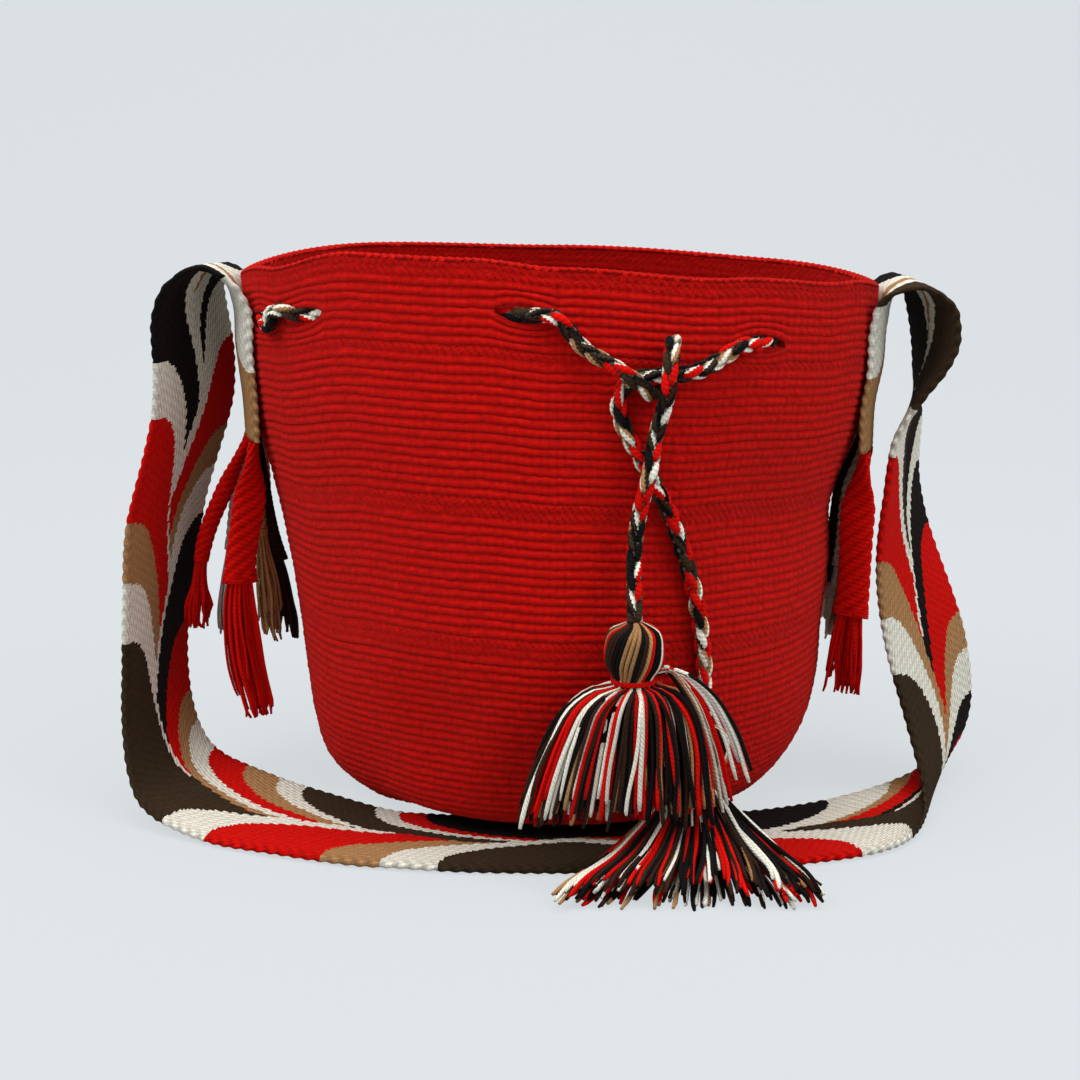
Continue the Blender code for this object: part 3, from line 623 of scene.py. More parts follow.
@dataclass(frozen=True)
class CottonFinish:
    """Matte spun cotton whose colour comes from the piece's own colour attribute."""

    name: str
    roughness: float
    sheen: float
    fibre_depth: float
    ply_depth: float
    plies_around: float
    plies_per_mm: float
    contrast: float
    specular: float = 0.06
    sheen_roughness: float = 0.5
    sheen_tint: tuple[float, float, float] = (1.0, 0.35, 0.30)

    def material(self, fibre: bpy.types.NodeTree, ply: bpy.types.NodeTree) -> bpy.types.Material:
        """Builds the material.

        Args:
            fibre: The cotton fibre group.
            ply: The twisted ply group.

        Returns:
            The material.
        """
        made = bpy.data.materials.new(self.name)
        made.use_nodes = True
        tree = made.node_tree
        nodes, links = tree.nodes, tree.links
        shader = nodes["Principled BSDF"]
        shader.inputs["Roughness"].default_value = self.roughness
        shader.inputs["Specular IOR Level"].default_value = self.specular
        shader.inputs["Sheen Weight"].default_value = self.sheen
        shader.inputs["Sheen Roughness"].default_value = self.sheen_roughness
        shader.inputs["Sheen Tint"].default_value = (*self.sheen_tint, 1)
        colour = nodes.new("ShaderNodeVertexColor")
        colour.layer_name = COLOUR
        grain = nodes.new("ShaderNodeGroup")
        grain.node_tree = fibre
        grain.inputs["Contrast"].default_value = self.contrast
        shown = scaled(tree, colour.outputs["Color"], grain.outputs["Shade"])
        bump = nodes.new("ShaderNodeBump")
        bump.inputs["Distance"].default_value = self.fibre_depth
        links.new(grain.outputs["Height"], bump.inputs["Height"])
        normal = bump.outputs["Normal"]
        if self.ply_depth > 0:
            twist = nodes.new("ShaderNodeGroup")
            twist.node_tree = ply
            twist.inputs["Plies around"].default_value = self.plies_around
            twist.inputs["Plies per millimetre"].default_value = self.plies_per_mm
            ridge = nodes.new("ShaderNodeBump")
            ridge.inputs["Distance"].default_value = self.ply_depth
            links.new(twist.outputs["Height"], ridge.inputs["Height"])
            links.new(normal, ridge.inputs["Normal"])
            normal = ridge.outputs["Normal"]
            # the plies' painted shade darkens the colour in their grooves
            shown = scaled(tree, shown, twist.outputs["Shade"])
        links.new(shown, shader.inputs["Base Color"])
        links.new(normal, shader.inputs["Normal"])
        return made


CROCHET_COTTON = CottonFinish("crochet_cotton", 0.95, 0.10, 0.85 * MM, 0.0, 0, 0, 0.60)
STRAP_COTTON = CottonFinish("strap_cotton", 0.95, 0.02, 0.35 * MM, 0.7 * MM, 0.47, 0.15, 0.34)
TWISTED_COTTON = CottonFinish("twisted_cotton", 0.95, 0.02, 0.20 * MM, 0.45 * MM, 3, 0.45, 0.34)


# the bag's form, as the solids have it


@dataclass(frozen=True)
class BagForm:
    """The wall's form: half sizes up its profile, the height of its rim and its soft hollows."""

    clearance: float = 0.0003
    row_pitch: float = 0.0043
    thickness: float = 0.004
    rim_level: float = 0.281
    slit_level: float = 0.255
    foot_start: float = 0.052
    foot_run: float = 0.012
    foot_fade: float = 0.016
    strap_thickness: float = 0.0042
    hollow_half_width: float = 0.1385
    # height, then half sizes to the left, the right, the front and the back
    stations: tuple[tuple[float, ...], ...] = (
        (0.0000, 0.092, 0.090, 0.088, 0.090),
        (0.0080, 0.113, 0.110, 0.107, 0.110),
        (0.0200, 0.126, 0.122, 0.116, 0.119),
        (0.0410, 0.132, 0.133, 0.124, 0.126),
        (0.0640, 0.135, 0.138, 0.129, 0.130),
        (0.0980, 0.1385, 0.140, 0.131, 0.131),
        (0.1310, 0.143, 0.143, 0.128, 0.129),
        (0.1630, 0.149, 0.143, 0.124, 0.126),
        (0.2060, 0.159, 0.157, 0.119, 0.120),
        (0.2450, 0.1635, 0.1640, 0.112, 0.112),
        (0.2810, 0.1650, 0.1650, 0.105, 0.105),
    )
    # degrees around from +X towards the back, and the rim's height there
    rim_stations: tuple[tuple[float, float], ...] = (
        (0, 0.268),
        (45, 0.2710),
        (90, 0.2745),
        (135, 0.2790),
        (180, 0.2745),
        (207, 0.2825),
        (232, 0.2945),
        (255, 0.2940),
        (270, 0.2900),
        (300, 0.2830),
        (330, 0.2760),
        (360, 0.268),
    )
    # degrees around, height, reach and depth
    hollows: tuple[tuple[float, ...], ...] = (
        (243, 0.060, 0.030, 0.0055),
        (222, 0.030, 0.028, 0.0045),
        (262, 0.035, 0.022, 0.0034),
        (313, 0.165, 0.038, 0.0040),
    )

    @cached_property
    def profile(self) -> Array:
        """The wall's height and half sizes, from the base to the rim."""
        return smooth_through(self.stations, self.row_pitch / 4)

    @cached_property
    def reach(self) -> Array:
        """How far up its profile each row of the profile lies."""
        rows = self.profile
        return reach_of(np.column_stack([rows[:, 0], rows[:, 1:].mean(axis=1)]))

    def halves_at(self, where: Array, stops: Array) -> Array:
        """The half sizes to the left, the right, the front and the back, last axis.

        Args:
            where: The heights or reaches that they are wanted at.
            stops: The height or reach of each row of the profile.

        Returns:
            The half sizes.
        """
        return np.stack([np.interp(where, stops, self.profile[:, side]) for side in range(1, 5)], axis=-1)

    def rim_height(self, angle: Array) -> Array:
        """The rim's height at angles around the bag.

        Args:
            angle: The angles around the bag.

        Returns:
            A height for each angle.
        """
        degrees = np.degrees(angle) % 360
        turns, heights = np.array(self.rim_stations).T
        index = np.clip(np.searchsorted(turns, degrees, side="right") - 1, 0, len(turns) - 2)
        share = (degrees - turns[index]) / (turns[index + 1] - turns[index])
        return heights[index] + (heights[index + 1] - heights[index]) * eased(share)

    def hollow_at(self, angle: Array, level: Array) -> Array:
        """How far the soft hollows pull the wall in.

        Args:
            angle: The angles around the bag.
            level: The heights before the rim's rise and fall.

        Returns:
            A distance for each place.
        """
        total = np.zeros(np.broadcast(angle, level).shape)
        for degrees, height, reach, depth in self.hollows:
            turn = (np.degrees(angle) - degrees + 180) % 360 - 180
            along = np.radians(turn) * self.hollow_half_width
            total = total + depth * np.exp(-(along**2 + (level - height) ** 2) / reach**2)
        return total

    def foot_lift(self, y: Array, level: Array) -> Array:
        """How far the strap under the front of the foot raises it."""
        room = self.strap_thickness + 3 * self.clearance
        return room * eased((-y - self.foot_start) / self.foot_run) * eased(1 - level / self.foot_fade)

    def place(self, angle: Array, level: Array, halves: Array) -> Array:
        """The wall's points.

        Args:
            angle: The angles around the bag.
            level: The heights before the rim's rise and fall.
            halves: The half sizes to the left, the right, the front and the back, last axis.

        Returns:
            The points, last axis.
        """
        pull = self.hollow_at(angle, level)
        half_x = np.where(np.cos(angle) > 0, halves[..., 1], halves[..., 0]) - pull
        half_y = np.where(np.sin(angle) > 0, halves[..., 3], halves[..., 2]) - pull
        x, y = half_x * np.cos(angle), half_y * np.sin(angle)
        z = level * self.rim_height(angle) / self.rim_level + self.foot_lift(y, level)
        return np.stack(np.broadcast_arrays(x, y, z), axis=-1)

    def skin(self, angle: Array, reach: Array, depth: Array) -> Array:
        """The wall's points, at distances up its profile and depths under its face.

        Args:
            angle: The angles around the bag.
            reach: The distances up the profile.
            depth: The depths under the wall's face.

        Returns:
            The points, last axis.
        """
        rows, stops = self.profile, self.reach
        level = np.interp(reach, stops, rows[:, 0])
        halves = self.halves_at(reach, stops)
        near, far = np.maximum(reach - self.row_pitch, 0), np.minimum(reach + self.row_pitch, stops[-1])
        mean = rows[:, 1:].mean(axis=1)
        rise = np.interp(far, stops, rows[:, 0]) - np.interp(near, stops, rows[:, 0])
        spread = np.interp(far, stops, mean) - np.interp(near, stops, mean)
        length = np.hypot(rise, spread)
        lowered = halves - (depth * rise / length)[..., None]
        return self.place(angle, level + depth * spread / length, lowered)

    def arc(self) -> tuple[Array, Array]:
        """Angles around the bag, and how far along the wall they lie from the front's middle.

        Returns:
            The angles and the distances, at the height of the slits.
        """
        angle = np.radians(np.arange(-90, 271))
        level = np.full(angle.shape, self.slit_level)
        halves = self.halves_at(level, self.profile[:, 0])
        return angle, reach_of(self.place(angle, level, halves)[:, :2])

    def along_wall(self, distance: float, height: float, offset: float) -> Array:
        """A point by its distance along the wall from the front's middle, its height and offset.

        Args:
            distance: How far along the wall it lies, to the right in front.
            height: Its height.
            offset: How far out from the wall's face it lies.

        Returns:
            The point.
        """
        angles, stops = self.arc()
        angle = np.interp(distance % stops[-1], stops, angles)
        level = min(height * self.rim_level / float(self.rim_height(angle)), self.rim_level)
        halves = self.halves_at(level, self.profile[:, 0])
        step = 0.01
        place = self.place(angle, level, halves)
        run = self.place(angle + step, level, halves) - self.place(angle - step, level, halves)
        outward = unit(np.array([run[1], -run[0], 0.0]))
        return np.array([place[0], place[1], height]) + outward * offset


FORM = BagForm()


@dataclass(frozen=True)
class Slit:
    """A slit for the drawstring, by its middle's distance along the wall and its height."""

    distance: float
    height: float


SLITS = {
    "front_left": Slit(-0.018, 0.268),
    "front_right": Slit(0.1005, 0.2515),
    "right_rear": Slit(0.252, 0.2440),
    "rear_right": Slit(0.345, 0.2460),
    "rear_left": Slit(0.443, 0.2530),
    "left_rear": Slit(0.541, 0.2560),
    "left_front": Slit(-0.1705, 0.2565),
    "front_far_left": Slit(-0.1380, 0.2620),
}


@dataclass
class CrochetWall:
    """The bag's base and wall, row over row of single crochet, with the drawstring's slits in it."""

    form: BagForm = FORM
    stitches: int = 208
    columns_a_stitch: int = 3
    # how far up its row each ring of points lies, and how deep it lies there
    row_steps: tuple[float, ...] = (0.0, 0.18, 0.46, 0.77)
    row_depths: tuple[float, ...] = (1.25 * MM, 0.36 * MM, 0.0, 0.42 * MM)
    stitch_depth: float = 0.34 * MM
    fancy_depth: float = 0.95 * MM
    uneven: float = 0.42 * MM
    sway: float = 0.30 * MM
    jitter: float = 0.75 * MM
    slit_half_length: float = 0.0150
    slit_half_height: float = 0.0036
    slit_spread: float = 0.0095
    slit_bluntness: float = 0.8
    slit_margin: float = 0.001
    fancy_rows: tuple[int, ...] = (28, 29, 43, 44, 60)
    rim_rows: int = 2
    seam_rows: tuple[int, ...] = (0, 27, 52)
    # the share of a row's height that a stitch leans over, and the groove's share, in plain and fancy rows
    plain_lean: float = 0.35
    fancy_lean: float = 1.0
    fancy_groove: float = 0.45
    # painted light and shade: how light the yarn is painted on the crests, how much darker the grooves are
    # painted and the depth where that ends
    crest_painted_light: float = 1.08
    groove_shade: float = 0.46
    groove_end: float = 1.5 * MM
    # share of the thickness and lift in millimetres of each ring over the rim
    rim_profile: tuple[tuple[float, float], ...] = (
        (0.06, -0.6), (0.16, 0.3), (0.36, 0.9), (0.64, 0.9), (0.84, 0.3), (0.94, -0.6),
    )
    rim_bead: float = 0.55 * MM
    rim_drop: float = 0.6 * MM
    # waves around the bag and their turn from row to row, for the rows' soft sway
    sway_waves: tuple[tuple[int, float], ...] = ((7, 0.37), (17, -0.61))
    # how deep the inside's relief is as a share of the outside's
    inner_share: float = 0.45
    base_columns: int = 160
    base_rows: int = 20
    # the first and the last row of the base as shares of its size
    base_reach: tuple[float, float] = (0.02, 0.985)
    base_groove: float = 0.35 * MM
    # painted shade: depths that darken the base's faces in turn
    base_painted_shade_depths: tuple[float, ...] = (0.8 * MM, 0.2 * MM, 0.1 * MM, 0.4 * MM)
    base_rest: float = 0.3 * MM
    stitch_seed: int = 11
    rough_seed: int = 17

    @property
    def rows(self) -> int:
        """How many rows the wall has."""
        return round(self.form.reach[-1] / self.form.row_pitch)

    @property
    def pitch(self) -> float:
        """The height of a row along the wall."""
        return self.form.reach[-1] / self.rows

    def make(self, finish: bpy.types.Material) -> list[bpy.types.Object]:
        """Builds the wall as bands of rows that meet in a groove, and the base.

        Args:
            finish: The crochet's material.

        Returns:
            The pieces, the lowest first.
        """
        angles, stops = self.form.arc()
        count = self.stitches * self.columns_a_stitch
        distance = stops[-1] * np.arange(count) / count
        angle = np.interp(distance, stops, angles)
        edges = (*self.seam_rows, self.rows)
        made = [self.make_base(finish)]
        for number, (low, high) in enumerate(zip(edges, edges[1:]), start=1):
            made.append(self.make_band(f"crochet_wall_{number}", low, high, angle, distance, finish))
        return made

    def relief(self, row: Array, step: Array, column: Array) -> Array:
        """How deep the crochet's surface lies under the wall's face.

        Args:
            row: The number of each point's row.
            step: How far up its row each point lies, 0 to 1.
            column: The number of each point's column.

        Returns:
            The depths in metres.
        """
        steps = np.append(self.row_steps, 1.0)
        depths = np.append(self.row_depths, self.row_depths[0])
        groove = np.interp(step, steps, depths)
        phase = column / self.columns_a_stitch
        draw = np.random.default_rng(self.stitch_seed).random((self.rows + 2, self.stitches + 1))
        stitch = np.floor(phase + self.plain_lean * step).astype(int) % self.stitches
        chance = draw[row, stitch]
        fancy = np.isin(row, self.fancy_rows) | (row >= self.rows - self.rim_rows)
        lean = np.where(fancy, self.fancy_lean, self.plain_lean)
        deep = np.where(fancy, self.fancy_depth, self.stitch_depth)
        groove = np.where(fancy, self.fancy_groove * groove, groove)
        shape = wave(phase + lean * step + 0.5 + 0.25 * (draw[row, 0] - 0.5)) ** 2
        return groove + deep * shape + self.uneven * chance * np.sin(math.pi * np.clip(step, 0, 1))

    def make_band(
        self,
        name: str,
        low: int,
        high: int,
        angle: Array,
        distance: Array,
        finish: bpy.types.Material,
    ) -> bpy.types.Object:
        """Builds the rows between two grooves as a closed shell. The top band has the rim and the slits.

        Args:
            name: The piece's name.
            low: Its first row.
            high: The row after its last.
            angle: The angle of each column.
            distance: Each column's distance along the wall.
            finish: The crochet's material.

        Returns:
            The piece.
        """
        is_top = high == self.rows
        count = len(angle)
        steps = len(self.row_steps)
        row = np.repeat(np.arange(low, high), steps)
        step = np.tile(self.row_steps, high - low)
        if not is_top:
            row, step = np.append(row, high), np.append(step, 0.0)
        column = np.arange(count)
        depth = self.relief(row[:, None], step[:, None], column[None])
        around = distance[None] / distance[-1]
        drift = sum(
            np.sin(2 * math.pi * (waves * around + turn * row[:, None])) for waves, turn in self.sway_waves
        )
        rough = np.random.default_rng(low + self.rough_seed).random((high - low + 2, count)) - 0.5
        rough = (rough + np.roll(rough, 1, axis=1)) / 2
        rough = rough[row - low] * (1 - step)[:, None] + rough[row - low + 1] * step[:, None]
        edge = ((row > low) & (row + step < high))[:, None]
        reach = (row + step)[:, None] * self.pitch + self.sway * drift / 2 + self.jitter * rough * edge
        reach = np.clip(reach, 0, self.rows * self.pitch)
        if low == 0:
            reach[0] = 0.0
        holes: list[tuple[int, Array]] = []
        if is_top:
            reach, holes = self.open_slits(reach, row + step, angle, distance)
        outer = self.form.skin(angle[None], reach, depth)
        inner_relief = self.form.thickness - self.inner_share * (depth - depth.min())
        picked = np.arange(len(row)) if is_top else np.unique([*range(0, len(row), steps), len(row) - 1])
        inner = self.form.skin(angle[None], reach[picked], inner_relief[picked])
        inner[..., 2] = np.maximum(inner[..., 2], self.form.thickness * (low == 0))
        crown = self.rim_rings(angle) if is_top else np.empty((0, count, 3))
        points = np.concatenate([outer, crown, inner[::-1]])
        total = len(points)
        last, after = (total - 1) * count, (column + 1) % count
        bottom = np.column_stack([last + column, last + after, after, column])
        quads = np.concatenate([ring_faces(total, count), bottom])
        keep = np.ones(len(quads), bool)
        lining = [np.empty((0, 4), int)]
        for level, columns in holes:
            mirror = total - 2 - level
            keep[level * count + columns] = False
            keep[mirror * count + columns] = False
            lining.append(self.line_slit(level, mirror, columns, count))
        lined = np.concatenate(lining)
        # painted shade by depth: the inside's grooves are painted less dark than the outside's, from their
        # depth; the bottom edge and the slits' linings are painted at a fixed depth
        inside_depth = 0.6 * depth[picked][::-1] + 0.3 * MM
        shade = np.concatenate([depth, np.repeat(depth[-1:], len(crown), axis=0), inside_depth])
        painted_shade_depths = np.concatenate([shade[:-1].ravel(), np.full(count, 1.0 * MM)])
        painted_shade_depths = np.concatenate([painted_shade_depths[keep], np.full(len(lined), 0.9 * MM)])
        quads = np.concatenate([quads[keep], lined])
        uv = np.zeros((len(quads), 4, 2))
        skin = Skin(points.reshape(-1, 3), quads, self.colour(painted_shade_depths), uv, [], np.empty((0, 3)))
        return skin.piece(name, finish, "body_yarn")

    def colour(self, depth: Array) -> Array:
        """The red yarn's colour, with painted light on the crests and painted shade deeper down in the
        grooves.
        """
        share = np.clip(depth / self.groove_end, 0, 1)[:, None]
        return Yarn.RED.light()[None] * (self.crest_painted_light - self.groove_shade * share)

    def line_slit(self, level: int, mirror: int, columns: Array, count: int) -> Array:
        """The faces that join a slit's edge on the outside to its edge on the inside.

        Args:
            level: The ring under the slit on the outer face.
            mirror: The ring over the slit on the inner face.
            columns: The columns that are open.
            count: How many columns there are.

        Returns:
            Four point numbers a face.
        """
        after = (columns + 1) % count
        low, high, far, near = (ring * count for ring in (level, level + 1, mirror, mirror + 1))
        faces = [
            np.column_stack([low + after, low + columns, near + columns, near + after]),
            np.column_stack([high + columns, high + after, far + after, far + columns]),
        ]
        for column, flip in ((int(columns[0]), False), (int(after[-1]), True)):
            end = [low + column, high + column, far + column, near + column]
            faces.append(np.array([end[::-1] if flip else end]))
        return np.concatenate(faces)

    def open_slits(
        self, reach: Array, rise: Array, angle: Array, distance: Array
    ) -> tuple[Array, list[tuple[int, Array]]]:
        """Spreads the rows round each slit and finds the faces that the slit leaves open.

        Args:
            reach: The distance up the profile of each ring and column.
            rise: Each ring's distance up in rows.
            angle: Each column's angle.
            distance: Each column's distance along the wall.

        Returns:
            The spread distances, and for each slit the ring under it and its open columns.
        """
        profile, stops = self.form.profile, self.form.reach
        round_bag = self.form.arc()[1][-1]
        spread = reach.copy()
        holes = []
        for slit in SLITS.values():
            aside = (distance - slit.distance + round_bag / 2) % round_bag - round_bag / 2
            middle = int(np.argmin(np.abs(aside)))
            level = slit.height * self.form.rim_level / float(self.form.rim_height(angle[middle]))
            target = np.interp(level, profile[:, 0], stops)
            grooves = np.flatnonzero(np.isclose(rise % 1.0, self.row_steps[-1]))[:-1]
            under = int(grooves[np.argmin(np.abs(reach[grooves, middle] - target))])
            line = (reach[under, middle] + reach[under + 1, middle]) / 2
            lens = np.maximum(1 - (aside / self.slit_half_length) ** 2, 0)
            gap = self.slit_half_height * lens**self.slit_bluntness
            away = np.abs(reach - line)
            fade = np.exp(-((away / self.slit_spread) ** 2))
            way = np.where(np.arange(len(reach)) > under, 1.0, -1.0)[:, None]
            spread = spread + way * gap[None] * fade
            inside = np.abs(aside + (round_bag / len(distance)) / 2)
            columns = np.flatnonzero(inside < self.slit_half_length - self.slit_margin)
            breaks = np.flatnonzero(np.diff(columns) > 1)
            if len(breaks):
                columns = np.concatenate([columns[breaks[0] + 1 :], columns[: breaks[0] + 1]])
            holes.append((under, columns))
        return np.minimum(spread, stops[-1]), holes

    def rim_rings(self, angle: Array) -> Array:
        """The rounded edge of the rim, from the outer face over to the inner.

        Args:
            angle: Each column's angle.

        Returns:
            The rings of points.
        """
        bead = self.rim_bead * wave(np.arange(len(angle)) / self.columns_a_stitch)
        rings = []
        top = np.full((1, len(angle)), self.form.reach[-1])
        for share, lift in self.rim_profile:
            points = self.form.skin(angle[None], top, np.full_like(top, share * self.form.thickness))
            points[..., 2] += lift * MM + bead[None] * (lift > 0) - self.rim_drop
            rings.append(points[0])
        return np.array(rings)

    def make_base(self, finish: bpy.types.Material) -> bpy.types.Object:
        """Builds the round base, with its rows running round its middle.

        Args:
            finish: The crochet's material.

        Returns:
            The base.
        """
        count = self.base_columns
        angle = 2 * math.pi * np.arange(count) / count
        start = np.array(self.form.stations[0][1:])
        shares = np.linspace(*self.base_reach, self.base_rows * 3)
        under, over = [], []
        for index, share in enumerate(shares):
            halves = np.broadcast_to(start * share, (count, 4))
            ring = self.form.place(angle, np.zeros(count), halves)
            sink = 0.0 if index % 3 else self.base_groove
            low, top = ring.copy(), ring.copy()
            low[:, 2] += self.base_rest + sink
            top[:, 2] += self.form.thickness - sink
            under.append(low)
            over.append(top)
        points = np.concatenate([np.array(under), np.array(over)[::-1]])
        quads = ring_faces(len(points), count)
        # painted shade: the base's faces are darkened in turn by these depths
        painted_shade_depths = np.resize(self.base_painted_shade_depths, len(quads))
        last = (len(points) - 1) * count
        caps = [list(range(count))[::-1], list(range(last, last + count))]
        colours = self.colour(painted_shade_depths)
        skin = Skin(points.reshape(-1, 3), quads, colours, np.zeros((len(quads), 4, 2)), caps, colours[:2])
        return skin.piece("crochet_base", finish, "body_yarn")


@dataclass
class WovenStrap:
    """The strap: a thick band of plaited yarns, with pointed flames of colour along it."""

    form: BagForm = FORM
    width: float = 0.071
    thickness: float = 0.0042
    leg_y: float = -0.004
    sewn_gap: float = 0.0009
    steps_across: int = 42
    step_along: float = 1.45 * MM
    rib_pitch: float = 4.6 * MM
    rib_slope: float = 0.62
    rib_depth: float = 0.42 * MM
    edge_pitch: float = 6.2 * MM
    edge_run: float = 7.5 * MM
    scallop: float = 1.1 * MM
    turn_scale: float = 10.0
    share_scale: float = 50.0
    station_spacing: float = 0.0150
    flame_length: float = 0.070
    seam_sway: float = 0.004
    seam_wave: float = 0.115
    # the round edge's reach as a share of the thickness, and its scallops' depth as a share of the ribs'
    edge_share: float = 0.6
    edge_depth: float = 1.9
    edge_fade: float = 2 * MM
    lowest: float = 0.2 * MM
    # painted light and shade: how light the yarn is painted on the ribs, and how much darker the deepest
    # place is painted
    crest_painted_light: float = 1.04
    groove_shade: float = 0.40

    def sewn_x(self, side: Array, y: Array, height: Array) -> Array:
        """Where the middle of the strap's thickness lies against the bag's side.

        Args:
            side: -1 for the bag's left side, 1 for its right.
            y: The place to the back.
            height: The height.

        Returns:
            The x of the strap's middle at each place.
        """
        right, left = self.form.rim_height(np.array(0.0)), self.form.rim_height(np.array(math.pi))
        rim = np.where(np.asarray(side) > 0, right, left)
        level = np.minimum(np.asarray(height) * self.form.rim_level / rim, self.form.rim_level)
        halves = self.form.halves_at(level, self.form.profile[:, 0])
        half_x = np.where(np.asarray(side) > 0, halves[..., 1], halves[..., 0])
        half_y = np.where(np.asarray(y) < 0, halves[..., 2], halves[..., 3])
        bow = np.sqrt(np.maximum(1 - (y / half_y) ** 2, 0))
        return side * (half_x * bow + self.sewn_gap + self.thickness / 2)

    def leg(self, side: int, height: float) -> tuple[float, float, float]:
        """The middle of the strap where it is sewn flat on the bag's side."""
        return float(self.sewn_x(side, self.leg_y, height)), self.leg_y, height

    def stations(self) -> list[tuple[float, ...]]:
        """Middle, turn and tilt in degrees, and share of the bag's roundness, from the left end.

        Returns:
            Six values for each station.
        """
        floor = self.thickness / 2 + self.form.clearance
        left, right = self.leg(-1, 0.205)[0], self.leg(1, 0.205)[0]
        top_left, top_right = self.leg(-1, 0.262)[0], self.leg(1, 0.256)[0]
        return [
            (left, self.leg_y, 0.192, -4, 0, 1.0),
            (*self.leg(-1, 0.212), -4, 0, 1.0),
            (*self.leg(-1, 0.238), -4, 0, 1.0),
            (*self.leg(-1, 0.260), -4, 0, 1.0),
            (top_left - 0.0040, self.leg_y, 0.2715, -2, -5, 0.6),
            (top_left - 0.0130, -0.005, 0.2775, 6, -8, 0.2),
            (-0.1880, -0.006, 0.2690, 16, -6, 0.0),
            (-0.1910, -0.007, 0.2540, 24, -2, 0.0),
            (-0.1895, -0.008, 0.2320, 27, 0, 0.0),
            (-0.1910, -0.008, 0.2050, 28, 0, 0.0),
            (-0.1975, -0.010, 0.1800, 27, 0, 0.0),
            (-0.2060, -0.014, 0.1500, 26, 0, 0.0),
            (-0.2108, -0.016, 0.1100, 23, 0, 0.0),
            (-0.2140, -0.020, 0.0750, 19, 0, 0.0),
            (-0.2122, -0.031, 0.0420, 21, 0, 0.0),
            (-0.2010, -0.050, 0.0180, 25, 7, 0.0),
            (-0.1700, -0.073, 0.0092, 25, 9, 0.0),
            (-0.1300, -0.0915, 0.0056, 21, 4, 0.0),
            (-0.0900, -0.1035, floor, 14, 0, 0.0),
            (-0.0450, -0.1100, floor, 6, 0, 0.0),
            (0.0000, -0.1115, floor, 0, 0, 0.0),
            (0.0600, -0.1085, floor, -6, 0, 0.0),
            (0.1100, -0.1010, floor, -10, 0, 0.0),
            (0.1500, -0.0880, 0.0036, -10, 1, 0.0),
            (0.1860, -0.0600, 0.0070, 6, 3, 0.0),
            (0.2030, -0.0300, 0.0170, 24, 3, 0.0),
            (0.2040, -0.0150, 0.0400, 37, 0, 0.0),
            (0.1955, -0.0095, 0.0790, 43, 0, 0.0),
            (0.1872, -0.0040, 0.1110, 37, 0, 0.0),
            (0.1824, -0.0010, 0.1360, 29, 0, 0.0),
            (0.1810, 0.0000, 0.1620, 22, 0, 0.0),
            (0.1830, -0.0010, 0.1920, 19, 0, 0.0),
            (0.1885, -0.0030, 0.2170, 4, 0, 0.0),
            (0.1940, -0.0050, 0.2400, -10, 0, 0.0),
            (top_right + 0.0235, -0.005, 0.2610, -14, -2, 0.1),
            (top_right + 0.0130, -0.005, 0.2700, -6, -3, 0.3),
            (top_right + 0.0040, self.leg_y, 0.2655, 4, -2, 0.7),
            (*self.leg(1, 0.250), 4, 0, 1.0),
            (*self.leg(1, 0.228), 4, 0, 1.0),
            (*self.leg(1, 0.208), 4, 0, 1.0),
            (right, self.leg_y, 0.186, 4, 0, 1.0),
        ]

    def frames(self) -> tuple[Array, Array, Array, Array]:
        """The strap's middle, width and face directions and roundness along its whole length.

        Returns:
            The middles, widths, faces and roundness, one row for each station.
        """
        stations = np.array(self.stations())
        stations[:, 3:5] = np.radians(stations[:, 3:5]) / self.turn_scale
        stations[:, 5] /= self.share_scale
        rows = smooth_through(stations, self.station_spacing)
        ahead = np.empty((len(rows), 3))
        ahead[1:-1] = rows[2:, :3] - rows[:-2, :3]
        ahead[0], ahead[-1] = rows[1, :3] - rows[0, :3], rows[-1, :3] - rows[-2, :3]
        turn, tilt = rows[:, 3] * self.turn_scale, rows[:, 4] * self.turn_scale
        width = np.column_stack([np.sin(turn) * np.cos(tilt), np.cos(turn) * np.cos(tilt), np.sin(tilt)])
        face = unit(np.cross(unit(ahead), width))
        lowest = self.form.clearance + self.thickness / 2 + self.width / 2 * np.abs(np.sin(tilt))
        middle = rows[:, :3].copy()
        middle[:, 2] = np.maximum(middle[:, 2], lowest * np.minimum(1, np.abs(face[:, 2]) * 2))
        return middle, width, face, np.clip(rows[:, 5] * self.share_scale, 0, 1)

    def place(self, frames: tuple[Array, Array, Array, Array], across: Array, out: Array) -> Array:
        """Points of the band.

        Args:
            frames: The middles, widths, faces and roundness, one row for each station.
            across: The distances across the band, a row for each station.
            out: The distances out from its middle, a row for each station.

        Returns:
            The points, last axis.
        """
        middle, width, face, share = frames
        flat = middle[:, None] + width[:, None] * across[..., None] + face[:, None] * out[..., None]
        side = np.sign(middle[:, :1])
        y = middle[:, 1:2] + across
        shift = self.sewn_x(side, y, middle[:, 2:3]) - self.sewn_x(side, middle[:, 1:2], middle[:, 2:3])
        height = np.broadcast_to(middle[:, 2:3], y.shape)
        sewn = np.stack([middle[:, :1] + shift + side * out, y, height], axis=-1)
        return flat + (sewn - flat) * share[:, None, None]

    def fine_frames(self) -> tuple[Array, Array, Array, Array]:
        """The frames at the spacing of the weave.

        Returns:
            The middles, widths, faces and roundness, one row for each rib of the mesh.
        """
        coarse = np.column_stack(self.frames())
        stops = reach_of(coarse[:, :3])
        fine = np.linspace(0, stops[-1], round(stops[-1] / self.step_along) + 1)
        rows = np.column_stack([smooth_between(stops, coarse[:, column], fine) for column in range(10)])
        return rows[:, :3], unit(rows[:, 3:6]), unit(rows[:, 6:9]), np.clip(rows[:, 9], 0, 1)

